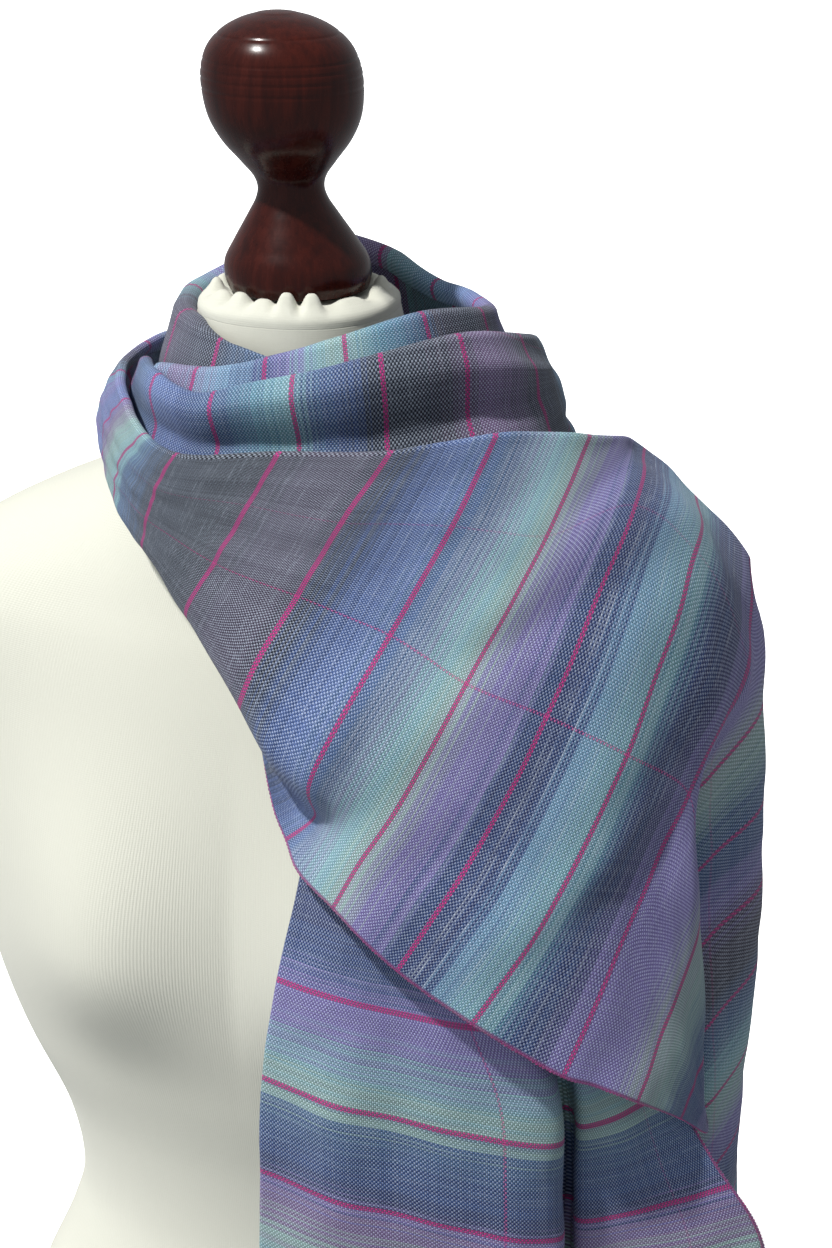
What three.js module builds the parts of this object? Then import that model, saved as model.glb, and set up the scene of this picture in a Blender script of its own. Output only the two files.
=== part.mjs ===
// A hand-woven merino and silk scarf wound round a limbless dress form with a turned finial.
// Millimetres, +Z up. The form faces -Y, its left is +X, and the origin is the centre of its flat base.

import * as THREE from 'three';
import { mergeVertices } from 'three/addons/utils/BufferGeometryUtils.js';

// ---------- the scarf ----------
const CLOTH = 1.6;              // wall of the cloth
const SEAM = 0.3;               // gap between one stretch and the next, and between pieces of the form
const WINDING_BULGE = 3;        // how far a winding round the neck rounds out at its middle
const NAPE_SEAM = 0.2;          // half the gap between two stretches at the nape, in degrees

// How many points each stretch has along the scarf and across it.
const GRIDS = {
  innerTurn: { along: 52, across: 7 },
  neckBand: { along: 36, across: 7 },
  frontPanel: { along: 46, across: 17 },
  shoulderDrape: { along: 26, across: 25 },
  frontTail: { along: 17, across: 26 },
};

// ---------- the dress form ----------
const NECK_TOP = 694;           // top of the jersey neck, under the cap
const TORSO_SIDES = 44;         // flats round the torso
const TORSO_RISE = 24;          // height of one band of the torso's skin
const TORSO_SQUARENESS = 2.25;  // exponent of its oval: 2 is an ellipse
const BUST_REACH = 24;          // how far the bust stands out of the chest's oval
const BUST_X = 78;              // its apex from the middle
const BUST_Z = 392;
const BUST_SPREAD = 52;         // its half-size across and below the apex
const BUST_SPREAD_ABOVE = 78;   // and above it
const CAP_RISE = 9;             // the gathered cap's height
const CAP_GATHERS = 22;
const CAP_GATHER_DEPTH = 1.1;
const CAP_SIDES = 4 * CAP_GATHERS;      // four flats to a gather
const FINIAL_FOOT = NECK_TOP + SEAM + CAP_RISE + SEAM;

// Ovals of the torso: half width, reach forward and reach back at each height.
const TORSO_OVALS = [
  { z: 0, half: 168, fore: 112, back: 122 },
  { z: 65, half: 171, fore: 112, back: 122 },
  { z: 127, half: 161, fore: 102, back: 110 },
  { z: 176, half: 140, fore: 92, back: 93 },
  { z: 212, half: 130, fore: 88, back: 86 },
  { z: 258, half: 137, fore: 91, back: 90 },
  { z: 308, half: 160, fore: 100, back: 98 },
  { z: 355, half: 174, fore: 107, back: 104 },
  { z: 410, half: 180, fore: 108, back: 110 },
  { z: 465, half: 187, fore: 104, back: 113 },
  { z: 515, half: 197, fore: 96, back: 110 },
  { z: 545, half: 200, fore: 89, back: 104 },
  { z: 562, half: 189, fore: 83, back: 98 },
  { z: 576, half: 170, fore: 78, back: 92 },
  { z: 593, half: 138, fore: 71, back: 84 },
  { z: 607, half: 107, fore: 65, back: 76 },
  { z: 621, half: 81, fore: 60, back: 68 },
  { z: 638, half: 63, fore: 55, back: 61 },
  { z: 660, half: 54, fore: 51, back: 55 },
  { z: 684, half: 49, fore: 48, back: 50 },
  { z: NECK_TOP, half: 47, fore: 47, back: 47 },
];

// The gathered cap: radius at each height, and how strongly it is gathered there.
const CAP_PROFILE = [
  { up: 0, r: 46.5, gather: 0 },
  { up: 3, r: 46, gather: 0.3 },
  { up: 6, r: 42, gather: 0.8 },
  { up: 8, r: 37, gather: 1 },
  { up: CAP_RISE, r: 30, gather: 0 },
];

// The turned finial: radius at each height above its foot.
const FINIAL_PROFILE = [
  { up: 0, r: 33 },
  { up: 5, r: 34.5 },
  { up: 13, r: 34 },
  { up: 22, r: 29 },
  { up: 34, r: 21.5 },
  { up: 42, r: 16.8 },
  { up: 47, r: 15.6 },
  { up: 52, r: 16.8 },
  { up: 59, r: 22 },
  { up: 69, r: 30 },
  { up: 79, r: 35 },
  { up: 90, r: 37 },
  { up: 102, r: 36 },
  { up: 114, r: 30 },
  { up: 122, r: 19.5 },
  { up: 126, r: 8.5 },
];
const FINIAL_HEIGHT = 127;
const FINIAL_LEAN = { x: -6, y: -7 };   // how far the neck's lean carries its top
const FINIAL_SIDES = 32;
const FINIAL_STEPS = 20;        // points along its profile
const WELD = 1e-3;              // points closer than this are one point

// ---------- the neck's two inner windings, in turns round the neck ----------
// turn: degrees from the front towards the form's left. rim and hem: reach and height of each edge.
const INNER_TURN = [
  { turn: 34, rim: 59.4, rimZ: 668, hem: 59.4, hemZ: 642 },
  { turn: 10, rim: 61, rimZ: 682, hem: 60, hemZ: 645 },
  { turn: -30, rim: 58, rimZ: 689, hem: 65, hemZ: 647 },
  { turn: -75, rim: 60, rimZ: 692, hem: 68, hemZ: 648 },
  { turn: -115, rim: 65, rimZ: 697, hem: 70, hemZ: 650 },
  { turn: -165, rim: 64, rimZ: 713, hem: 71, hemZ: 652 },
  { turn: -206, rim: 67, rimZ: 707, hem: 77, hemZ: 650 },
  { turn: -225, rim: 72, rimZ: 699, hem: 84, hemZ: 650 },
  { turn: -245, rim: 84, rimZ: 696, hem: 94, hemZ: 650 },
  { turn: -267, rim: 95, rimZ: 697, hem: 104, hemZ: 652 },
  { turn: -300, rim: 88, rimZ: 704, hem: 99, hemZ: 655 },
  { turn: -329, rim: 77, rimZ: 694, hem: 86, hemZ: 652 },
  { turn: -350, rim: 71, rimZ: 685, hem: 78, hemZ: 648 },
  { turn: -375, rim: 71, rimZ: 677, hem: 76, hemZ: 646 },
  { turn: -402, rim: 76.2, rimZ: 673, hem: 80.2, hemZ: 643 },
];
const NECK_BAND = [
  { turn: -66, rim: 77, rimZ: 669, hem: 79, hemZ: 636 },
  { turn: -41, rim: 80, rimZ: 672, hem: 84, hemZ: 633 },
  { turn: -16, rim: 82, rimZ: 668, hem: 87, hemZ: 628 },
  { turn: 4, rim: 83, rimZ: 676, hem: 88, hemZ: 626 },
  { turn: 25, rim: 89, rimZ: 684, hem: 96, hemZ: 626 },
  { turn: 43, rim: 98, rimZ: 692, hem: 107, hemZ: 628 },
  { turn: 62, rim: 110, rimZ: 698, hem: 123, hemZ: 630 },
  { turn: 80, rim: 115, rimZ: 692, hem: 134, hemZ: 630 },
  { turn: 100, rim: 113, rimZ: 681, hem: 134, hemZ: 628 },
  { turn: 122, rim: 103, rimZ: 672, hem: 118, hemZ: 624 },
  { turn: 145, rim: 92, rimZ: 668, hem: 102, hemZ: 620 },
  { turn: 164, rim: 87, rimZ: 666, hem: 96, hemZ: 618 },
  { turn: 180 - NAPE_SEAM, rim: 86, rimZ: 665, hem: 95, hemZ: 618 },
];

// ---------- the outer wrap: a row for each stripe, 42 apart, from behind the neck ----------
// hem is the lower selvedge, hollow and fold shape where it is turned under, third and high are the
// faint warp lines, and top is the upper fold.
const FRONT_PANEL = [
  { stripe: -6, hem: [-47, 86, 618], hollow: [-48, 89, 622], fold: [-50, 91, 628],
    third: [-51, 91, 640], high: [-49, 87, 654], top: [-45, 80, 667] },
  { stripe: -5, hem: [-77, 54, 623], hollow: [-80, 56, 626], fold: [-84, 57, 632],
    third: [-85, 57, 642], high: [-82, 53, 655], top: [-75, 47, 667] },
  { stripe: -4, hem: [-85, 12, 628], hollow: [-89, 12, 630], fold: [-93, 11, 635],
    third: [-95, 10, 644], high: [-92, 8, 656], top: [-84, 4, 668] },
  { stripe: -3, hem: [-82, -26, 627], hollow: [-86, -29, 629], fold: [-89, -31, 634],
    third: [-90, -32, 643], high: [-87, -34, 655], top: [-80, -36, 664] },
  { stripe: -2, hem: [-64, -58, 616], hollow: [-69, -61, 617], fold: [-74, -63, 622],
    third: [-75, -64, 636], high: [-71, -66, 650], top: [-63, -66, 659] },
  { stripe: -1, hem: [-43, -75, 604], hollow: [-51, -80, 605], fold: [-59, -84, 611],
    third: [-59, -86, 627], high: [-53, -89, 641], top: [-44, -89, 651] },
  { stripe: 0, hem: [-14, -82, 592], hollow: [-27, -90, 592], fold: [-39, -101, 600],
    third: [-36, -103, 617], high: [-31, -103, 632], top: [-24, -99, 646] },
  { stripe: 1, hem: [22, -93, 572], hollow: [4, -100, 567], fold: [-13, -114, 576],
    third: [4, -114, 604], high: [16, -108, 630], top: [27, -102, 652] },
  { stripe: 2, hem: [50, -114, 542], hollow: [35, -118, 537], fold: [19, -131, 545],
    third: [54, -122, 595], high: [67, -112, 628], top: [78, -100, 657] },
  { stripe: 2.5, hem: [31, -132, 510], hollow: [41, -126, 519], fold: [38, -140, 530],
    third: [68, -123, 589], high: [85, -108, 629], top: [99, -90, 660] },
  { stripe: 3, hem: [43, -145, 493], hollow: [56, -139, 505], fold: [57, -147, 519],
    third: [82, -124, 583], high: [103, -102, 628], top: [119, -77, 662] },
  { stripe: 3.4, hem: [53, -153, 477], hollow: [64, -149, 498], fold: [68, -148, 513],
    third: [98, -124, 576], high: [120, -95, 625], top: [134, -62, 660] },
  { stripe: 4, hem: [70, -158, 464], hollow: [79, -154, 487], fold: [89, -147, 509],
    third: [121, -124, 565], high: [143, -85, 622], top: [152, -42, 655] },
  { stripe: 5, hem: [100, -158, 438], hollow: [109, -153, 462], fold: [120, -143, 487],
    third: [152, -113, 549], high: [172, -50, 628], top: [162, 28, 630] },
  { stripe: 6, hem: [133, -152, 414], hollow: [143, -144, 438], fold: [154, -133, 465],
    third: [184, -96, 528], high: [203, -28, 603], top: [190, 45, 606] },
  { stripe: 7, hem: [172, -139, 386], hollow: [182, -124, 416], fold: [192, -103, 449],
    third: [208, -64, 498], high: [221, -4, 540], top: [214, 54, 577] },
];

// Where the panel's six stations lie on the neck band's end, from its hem to its rim.
const PANEL_STATIONS_ON_BAND = [0, 0.2, 0.4, 0.6, 0.8, 1];

// ---------- the length that hangs from the shoulder: plan and height of each stripe ----------
// hem and shin reach the upright fold's edge in front, cleft is the deep hollow behind it, and side,
// rear and back carry the cloth round behind.
const SHOULDER_DRAPE = [
  { stripe: 7.4, hem: [184, -131, 379], shin: [201, -97, 432], edge: [213, -65, 474], cleft: [205, -38, 493],
    side: [221, -6, 517], rear: [221, 46, 536], back: [192, 92, 548] },
  { stripe: 8, hem: [202, -118, 366], shin: [211, -90, 404], edge: [217, -65, 440], cleft: [195, -38, 466],
    side: [221, -6, 484], rear: [222, 52, 498], back: [188, 102, 508] },
  { stripe: 9, hem: [217, -93, 345], shin: [221, -79, 357], edge: [221, -64, 374], cleft: [195, -38, 412],
    side: [220, -6, 438], rear: [224, 58, 446], back: [186, 108, 454] },
  { stripe: 9.7, hem: [227, -74, 327], shin: [224, -68, 333], edge: [216, -60, 344], cleft: [195, -38, 376],
    side: [219, -6, 408], rear: [224, 60, 415], back: [184, 112, 422] },
  { stripe: 10.5, hem: [196, 22, 300], shin: [186, -18, 312], edge: [190, -44, 326], cleft: [197, -33, 346],
    side: [219, -6, 370], rear: [224, 62, 377], back: [182, 114, 384] },
  { stripe: 12, hem: [180, 40, 244], shin: [178, -4, 250], edge: [188, -42, 266], cleft: [197, -32, 284],
    side: [218, -4, 302], rear: [223, 62, 309], back: [180, 116, 316] },
  { stripe: 15, hem: [180, 42, 124], shin: [178, -4, 128], edge: [188, -40, 140], cleft: [198, -30, 156],
    side: [217, -2, 170], rear: [222, 62, 176], back: [180, 114, 182] },
];

// Where those seven stations leave the panel's last section, and how far on they start.
const DRAPE_STATIONS_ON_PANEL = [0, 0.4, 0.6, 0.7, 0.8, 0.9, 1];
const DRAPE_SEAM = 4 * SEAM;

// ---------- the end that hangs in front: a row for each stripe ----------
// left to right across the width, with a deep cleft between the halves.
const FRONT_TAIL = [
  { height: 600, left: [40, -74], mid: [52, -76], near: [66, -76],
    cleft: [72, -68], far: [82, -72], right: [96, -62] },
  { height: 540, left: [58, -100], mid: [74, -104], near: [92, -102],
    cleft: [98, -90], far: [108, -98], right: [124, -86] },
  { height: 470, left: [50, -139], mid: [84, -143], near: [118, -131],
    cleft: [124, -112], far: [136, -124], right: [160, -102] },
  { height: 420, left: [41, -148], mid: [84, -152], near: [140, -133],
    cleft: [146, -106], far: [158, -118], right: [186, -88] },
  { height: 365, left: [33, -151], mid: [80, -154], near: [165, -127],
    cleft: [160, -102], far: [174, -108], right: [206, -84] },
  { height: 320, left: [31, -151], mid: [80, -154], near: [168, -125],
    cleft: [162, -100], far: [174, -107], right: [230, -80] },
  { height: 266, left: [28, -148], mid: [78, -151], near: [169, -125],
    cleft: [162, -100], far: [175, -106], right: [258, -72] },
  { height: 170, left: [26, -148], mid: [76, -151], near: [167, -126],
    cleft: [160, -100], far: [176, -106], right: [252, -74] },
  { height: 70, left: [26, -147], mid: [76, -150], near: [164, -127],
    cleft: [158, -100], far: [175, -107], right: [244, -76] },
];

// ---------- shapes ----------

const vector = (point) => new THREE.Vector3(...point);
const curveThrough = (points) => new THREE.CatmullRomCurve3(points, false, 'centripetal');

// A grid of points on a smooth surface through the sections: count.along rows of count.across points.
function surfaceThrough(sections, count) {
  const rows = sections.map((section) => curveThrough(section));
  const columns = [];
  for (let j = 0; j < count.across; j++) {
    const across = j / (count.across - 1);
    columns.push(curveThrough(rows.map((row) => row.getPoint(across))));
  }
  const grid = [];
  for (let i = 0; i < count.along; i++) {
    const along = i / (count.along - 1);
    grid.push(columns.map((column) => column.getPoint(along)));
  }
  return grid;
}

// The outward unit normal of the grid at row i, column j.
function gridNormal(grid, i, j) {
  const along = new THREE.Vector3().subVectors(
    grid[Math.min(i + 1, grid.length - 1)][j], grid[Math.max(i - 1, 0)][j]);
  const across = new THREE.Vector3().subVectors(
    grid[i][Math.min(j + 1, grid[i].length - 1)], grid[i][Math.max(j - 1, 0)]);
  return along.cross(across).normalize();
}

// A closed wall of even thickness, half of it on each side of the grid.
function wallOf(grid, thickness) {
  const rows = grid.length;
  const columns = grid[0].length;
  const positions = [];
  for (const side of [1, -1]) {
    for (let i = 0; i < rows; i++) {
      for (let j = 0; j < columns; j++) {
        const shift = gridNormal(grid, i, j).multiplyScalar(side * thickness / 2);
        positions.push(...grid[i][j].clone().add(shift).toArray());
      }
    }
  }
  const index = [];
  const front = (i, j) => i * columns + j;
  const rear = (i, j) => rows * columns + front(i, j);
  const quad = (a, b, c, d) => index.push(a, b, c, a, c, d);
  for (let i = 0; i < rows - 1; i++) {
    for (let j = 0; j < columns - 1; j++) {
      quad(front(i, j), front(i + 1, j), front(i + 1, j + 1), front(i, j + 1));
      quad(rear(i, j), rear(i, j + 1), rear(i + 1, j + 1), rear(i + 1, j));
    }
    quad(front(i, 0), rear(i, 0), rear(i + 1, 0), front(i + 1, 0));
    quad(front(i, columns - 1), front(i + 1, columns - 1), rear(i + 1, columns - 1), rear(i, columns - 1));
  }
  for (let j = 0; j < columns - 1; j++) {
    quad(front(0, j), front(0, j + 1), rear(0, j + 1), rear(0, j));
    quad(front(rows - 1, j), rear(rows - 1, j), rear(rows - 1, j + 1), front(rows - 1, j + 1));
  }
  return solidFrom(positions, index);
}

function solidFrom(positions, index) {
  const geometry = new THREE.BufferGeometry();
  geometry.setAttribute('position', new THREE.Float32BufferAttribute(positions, 3));
  geometry.setIndex(index);
  return geometry;
}

// A point at a turn from the front, a reach from the axis and a height.
function polar(turn, reach, height) {
  const angle = THREE.MathUtils.degToRad(turn);
  return new THREE.Vector3(reach * Math.sin(angle), -reach * Math.cos(angle), height);
}

// One winding of cloth round the neck, rounded outwards between its rim and its hem.
function winding(table, count) {
  const sections = table.map((row) => [0, 0.5, 1].map((down) => {
    const bulge = down === 0.5 ? WINDING_BULGE : 0;
    const reach = THREE.MathUtils.lerp(row.rim, row.hem, down) + bulge;
    return polar(row.turn, reach, THREE.MathUtils.lerp(row.rimZ, row.hemZ, down));
  }));
  return surfaceThrough(sections, count);
}

// ---------- the scarf's stretches ----------

function innerTurn() {
  const grid = winding(INNER_TURN, GRIDS.innerTurn);
  return wallOf(grid.map((row) => row.reverse()), CLOTH);
}

function neckBand() {
  return wallOf(winding(NECK_BAND, GRIDS.neckBand), CLOTH);
}

function frontPanelSections() {
  const nape = NECK_BAND[NECK_BAND.length - 1];
  const start = PANEL_STATIONS_ON_BAND.map((up) => polar(180 + NAPE_SEAM,
    THREE.MathUtils.lerp(nape.hem, nape.rim, up), THREE.MathUtils.lerp(nape.hemZ, nape.rimZ, up)));
  const rest = FRONT_PANEL.map(
    (row) => [row.hem, row.hollow, row.fold, row.third, row.high, row.top].map(vector));
  return [start, ...rest];
}

function frontPanel() {
  return wallOf(surfaceThrough(frontPanelSections(), GRIDS.frontPanel), CLOTH);
}

// It starts where the panel ends, a seam's gap further on.
function shoulderDrape() {
  const [lead, end] = frontPanelSections().slice(-2).map((section) => curveThrough(section));
  const sections = SHOULDER_DRAPE.map(
    (row) => [row.hem, row.shin, row.edge, row.cleft, row.side, row.rear, row.back].map(vector));
  const start = DRAPE_STATIONS_ON_PANEL.map((across) => {
    const point = end.getPoint(across);
    const onward = point.clone().sub(lead.getPoint(across)).normalize();
    return point.addScaledVector(onward, DRAPE_SEAM);
  });
  return wallOf(surfaceThrough([start, ...sections], GRIDS.shoulderDrape), CLOTH);
}

function frontTail() {
  const sections = FRONT_TAIL.map((row) => {
    const stations = [row.left, row.mid, row.near, row.cleft, row.far, row.right];
    return stations.map(([x, y]) => new THREE.Vector3(x, y, row.height));
  });
  return wallOf(surfaceThrough(sections, GRIDS.frontTail), CLOTH);
}

// ---------- the dress form ----------

// The torso's oval at a height, read off the table on a smooth curve.
function ovalAt(z) {
  const last = TORSO_OVALS.length - 1;
  let k = 0;
  while (k < last - 1 && TORSO_OVALS[k + 1].z < z) k++;
  const [before, from, to, after] = [k - 1, k, k + 1, k + 2].map(
    (n) => TORSO_OVALS[THREE.MathUtils.clamp(n, 0, last)]);
  const t = (z - from.z) / (to.z - from.z);
  const blend = (key) => {
    const rise = to[key] - from[key];
    const slopeFrom = k === 0 ? rise : (to[key] - before[key]) * (to.z - from.z) / (to.z - before.z);
    const slopeTo = k === last - 1 ? rise : (after[key] - from[key]) * (to.z - from.z) / (after.z - from.z);
    const t2 = t * t;
    const t3 = t2 * t;
    return from[key] * (2 * t3 - 3 * t2 + 1) + slopeFrom * (t3 - 2 * t2 + t)
      + to[key] * (3 * t2 - 2 * t3) + slopeTo * (t3 - t2);
  };
  return { half: blend('half'), fore: blend('fore'), back: blend('back') };
}

function torsoPoint(angle, z) {
  const oval = ovalAt(z);
  const across = Math.abs(Math.sin(angle)) / oval.half;
  const deep = Math.abs(Math.cos(angle)) / (Math.cos(angle) > 0 ? oval.fore : oval.back);
  const power = TORSO_SQUARENESS;
  const reach = (across ** power + deep ** power) ** (-1 / power);
  const x = reach * Math.sin(angle);
  const y = -reach * Math.cos(angle);
  const side = (Math.abs(x) - BUST_X) / BUST_SPREAD;
  const lift = (z - BUST_Z) / (z > BUST_Z ? BUST_SPREAD_ABOVE : BUST_SPREAD);
  const bust = y < 0 ? BUST_REACH * Math.exp(-side * side - lift * lift) * Math.cos(angle) : 0;
  return new THREE.Vector3(x, y - bust, z);
}

// A closed solid from rings of equal count, capped flat at both ends.
function stackedRings(rings) {
  const sides = rings[0].length;
  const positions = rings.flat().flatMap((point) => point.toArray());
  const index = [];
  for (let i = 0; i < rings.length - 1; i++) {
    for (let j = 0; j < sides; j++) {
      const next = (j + 1) % sides;
      const [a, b, c, d] = [i * sides + j, i * sides + next, (i + 1) * sides + next, (i + 1) * sides + j];
      index.push(a, b, c, a, c, d);
    }
  }
  const middle = (ring) => ring.reduce((sum, p) => sum.add(p), new THREE.Vector3()).divideScalar(sides);
  const foot = positions.length / 3;
  positions.push(...middle(rings[0]).toArray(), ...middle(rings[rings.length - 1]).toArray());
  const lastRing = (rings.length - 1) * sides;
  for (let j = 0; j < sides; j++) {
    const next = (j + 1) % sides;
    index.push(foot, next, j, foot + 1, lastRing + j, lastRing + next);
  }
  return solidFrom(positions, index);
}

function torso() {
  const bands = Math.ceil(NECK_TOP / TORSO_RISE);
  const rings = [];
  for (let i = 0; i <= bands; i++) {
    const z = NECK_TOP * i / bands;
    const ring = [];
    for (let j = 0; j < TORSO_SIDES; j++) {
      ring.push(torsoPoint(2 * Math.PI * j / TORSO_SIDES, z));
    }
    rings.push(ring);
  }
  return stackedRings(rings);
}

// Jersey drawn up into gathers under the finial's foot.
function neckCap() {
  const rings = CAP_PROFILE.map((level) => {
    const ring = [];
    for (let j = 0; j < CAP_SIDES; j++) {
      const angle = 2 * Math.PI * j / CAP_SIDES;
      const ridge = Math.cos(angle * CAP_GATHERS) * CAP_GATHER_DEPTH * level.gather;
      const reach = level.r + ridge;
      const z = NECK_TOP + SEAM + level.up;
      ring.push(new THREE.Vector3(reach * Math.sin(angle), -reach * Math.cos(angle), z));
    }
    return ring;
  });
  return stackedRings(rings);
}

function finial() {
  const lines = FINIAL_PROFILE.map((point) => new THREE.Vector3(point.r, point.up, 0));
  const profile = [new THREE.Vector2(0, 0), new THREE.Vector2(FINIAL_PROFILE[0].r, 0)];
  for (const point of curveThrough(lines).getPoints(FINIAL_STEPS).slice(1)) {
    profile.push(new THREE.Vector2(point.x, point.y));
  }
  profile.push(new THREE.Vector2(0, FINIAL_HEIGHT));
  const geometry = new THREE.LatheGeometry(profile, FINIAL_SIDES);
  geometry.deleteAttribute('normal');
  geometry.deleteAttribute('uv');
  const solid = mergeVertices(geometry, WELD);
  solid.rotateX(Math.PI / 2);
  const place = solid.getAttribute('position');
  for (let k = 0; k < place.count; k++) {
    const up = place.getZ(k) / FINIAL_HEIGHT;
    place.setX(k, place.getX(k) + FINIAL_LEAN.x * up);
    place.setY(k, place.getY(k) + FINIAL_LEAN.y * up);
    place.setZ(k, place.getZ(k) + FINIAL_FOOT);
  }
  return solid;
}

// ---------- materials and the assembled group ----------

const cloth = (color) => new THREE.MeshStandardMaterial({ color, roughness: 0.85, metalness: 0 });
const jersey = new THREE.MeshStandardMaterial({ color: 0xe3e3d8, roughness: 0.95, metalness: 0 });
const mahogany = new THREE.MeshStandardMaterial({ color: 0x3a1814, roughness: 0.25, metalness: 0 });

const PIECES = [
  ['torso', torso, jersey],
  ['neck_cap', neckCap, jersey],
  ['finial', finial, mahogany],
  ['inner_turn', innerTurn, cloth(0x6f6c86)],
  ['neck_band', neckBand, cloth(0x5a6480)],
  ['front_panel', frontPanel, cloth(0x7f98b4)],
  ['shoulder_drape', shoulderDrape, cloth(0x50688c)],
  ['front_tail', frontTail, cloth(0x8a84b0)],
];

const dressedForm = new THREE.Group();
for (const [name, shape, material] of PIECES) {
  const mesh = new THREE.Mesh(shape(), material);
  mesh.name = name;
  dressedForm.add(mesh);
}

export default dressedForm;
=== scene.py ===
import math
from collections import namedtuple

import bpy
import numpy as np
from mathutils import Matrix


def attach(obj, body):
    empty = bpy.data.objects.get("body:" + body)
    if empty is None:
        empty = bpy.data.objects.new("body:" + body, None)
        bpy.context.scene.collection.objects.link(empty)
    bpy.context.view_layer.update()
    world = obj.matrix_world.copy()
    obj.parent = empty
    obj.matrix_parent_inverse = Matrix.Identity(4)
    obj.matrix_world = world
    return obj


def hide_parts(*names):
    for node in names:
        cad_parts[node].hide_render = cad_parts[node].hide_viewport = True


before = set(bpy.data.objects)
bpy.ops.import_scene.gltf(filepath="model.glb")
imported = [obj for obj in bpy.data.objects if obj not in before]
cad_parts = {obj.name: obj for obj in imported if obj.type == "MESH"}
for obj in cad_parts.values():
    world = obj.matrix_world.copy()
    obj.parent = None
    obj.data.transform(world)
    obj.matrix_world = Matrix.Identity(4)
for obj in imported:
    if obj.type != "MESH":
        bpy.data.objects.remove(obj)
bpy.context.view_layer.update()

MM = 0.001

# ---------- the cloth ----------
CLOTH = 1.0             # thickness of the woven cloth
WIDTH = 330             # from selvedge to selvedge
STRIPE_STEP = 42        # from one pink stripe to the next
STRIPE_WIDTH = 2.3      # one pink stripe, three picks wide
SELVEDGE = 1.5          # the pink yarn along each selvedge
PICK = 0.9              # from one weft thread to the next
END = 0.88              # from one warp thread to the next
LOOP_PITCH = 1.9        # from one turning loop of the weft to the next, along a selvedge
LOOP_LONG = 1.3
LOOP_THICK = 0.6
WINDING_BULGE = 3       # how far a winding round the neck rounds out at its middle

# How many points each piece has along the scarf and across it. The wrap is the neck band, the front
# panel and the shoulder's length in one cloth.
GRIDS = {"inner_turn": (330, 30), "wrap": (415, 98), "front_tail": (250, 130)}
WRAP_SHARES = (0.265, 0.47, 0.265)      # how the wrap's points are shared between its three stretches

# turn: degrees from the front towards the form's left; rim and hem: reach and height of each edge.
Winding = namedtuple("Winding", "turn rim rim_z hem hem_z")
INNER_TURN = [Winding(*row) for row in (
    (34, 59.4, 668, 59.4, 642), (10, 61, 682, 60, 645), (-30, 58, 689, 65, 647),
    (-75, 60, 692, 68, 648), (-115, 65, 697, 70, 650), (-165, 64, 713, 71, 652),
    (-206, 67, 707, 77, 650), (-225, 72, 699, 84, 650), (-245, 84, 696, 94, 650),
    (-267, 95, 697, 104, 652), (-300, 88, 704, 99, 655), (-329, 77, 694, 86, 652),
    (-350, 71, 685, 78, 648), (-375, 71, 677, 76, 646), (-402, 76.2, 673, 80.2, 643),
)]
NECK_BAND = [Winding(*row) for row in (
    (-66, 77, 669, 79, 636), (-41, 80, 672, 84, 633), (-16, 82, 668, 87, 628),
    (4, 83, 676, 88, 626), (25, 89, 684, 96, 626), (43, 98, 692, 107, 628),
    (62, 110, 698, 123, 630), (80, 115, 692, 134, 630), (100, 113, 681, 134, 628),
    (122, 103, 672, 118, 624), (145, 92, 668, 102, 620), (164, 87, 666, 96, 618),
    (180, 86, 665, 95, 618),
)]

# A row for each pink stripe from behind the neck. hem is the lower selvedge, hollow and fold shape
# where it is turned under, third and high are the faint warp lines, and top is the upper fold.
PanelRow = namedtuple("PanelRow", "stripe hem hollow fold third high top")
FRONT_PANEL = [PanelRow(*row) for row in (
    (-6, (-47, 86, 618), (-48, 89, 622), (-50, 91, 628), (-51, 91, 640), (-49, 87, 654), (-45, 80, 667)),
    (-5, (-77, 54, 623), (-80, 56, 626), (-84, 57, 632), (-85, 57, 642), (-82, 53, 655), (-75, 47, 667)),
    (-4, (-85, 12, 628), (-89, 12, 630), (-93, 11, 635), (-95, 10, 644), (-92, 8, 656), (-84, 4, 668)),
    (-3, (-82, -26, 627), (-86, -29, 629), (-89, -31, 634), (-90, -32, 643), (-87, -34, 655),
     (-80, -36, 664)),
    (-2, (-64, -58, 616), (-69, -61, 617), (-74, -63, 622), (-75, -64, 636), (-71, -66, 650),
     (-63, -66, 659)),
    (-1, (-43, -75, 604), (-51, -80, 605), (-59, -84, 611), (-59, -86, 627), (-53, -89, 641),
     (-44, -89, 651)),
    (0, (-14, -82, 592), (-27, -90, 592), (-39, -101, 600), (-36, -103, 617), (-31, -103, 632),
     (-24, -99, 646)),
    (1, (22, -93, 572), (4, -100, 567), (-13, -114, 576), (1, -115, 604), (15, -108, 630), (27, -102, 652)),
    (2, (20, -112, 534), (19, -122, 538), (20, -136, 547), (44, -125, 597), (61, -114, 629),
     (78, -100, 657)),
    (2.5, (32, -131, 498), (39, -127, 502), (40, -148, 533), (66, -124, 590), (85, -108, 629),
     (99, -90, 660)),
    (3, (41, -138, 484), (54, -134, 495), (59, -154, 522), (86, -123, 583), (107, -101, 628),
     (119, -77, 662)),
    (3.4, (51, -149, 475), (63, -144, 496), (69, -150, 514), (101, -124, 576), (124, -94, 625),
     (134, -62, 660)),
    (4, (70, -158, 464), (82, -153, 487), (95, -145, 509), (121, -124, 565), (145, -84, 622),
     (152, -42, 655)),
    (5, (100, -158, 438), (114, -151, 462), (128, -140, 487), (154, -112, 549), (176, -49, 628),
     (162, 28, 630)),
    (6, (133, -152, 414), (148, -142, 438), (162, -130, 465), (186, -95, 528), (201, -29, 603),
     (185, 44, 604)),
    (7, (172, -139, 386), (182, -124, 416), (192, -103, 449), (208, -64, 498), (221, -4, 540),
     (211, 54, 572)),
)]
PANEL_WIDTHS = (0, 26, 52, 115, 188, 250)       # how far across the cloth each of those six stations is

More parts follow.
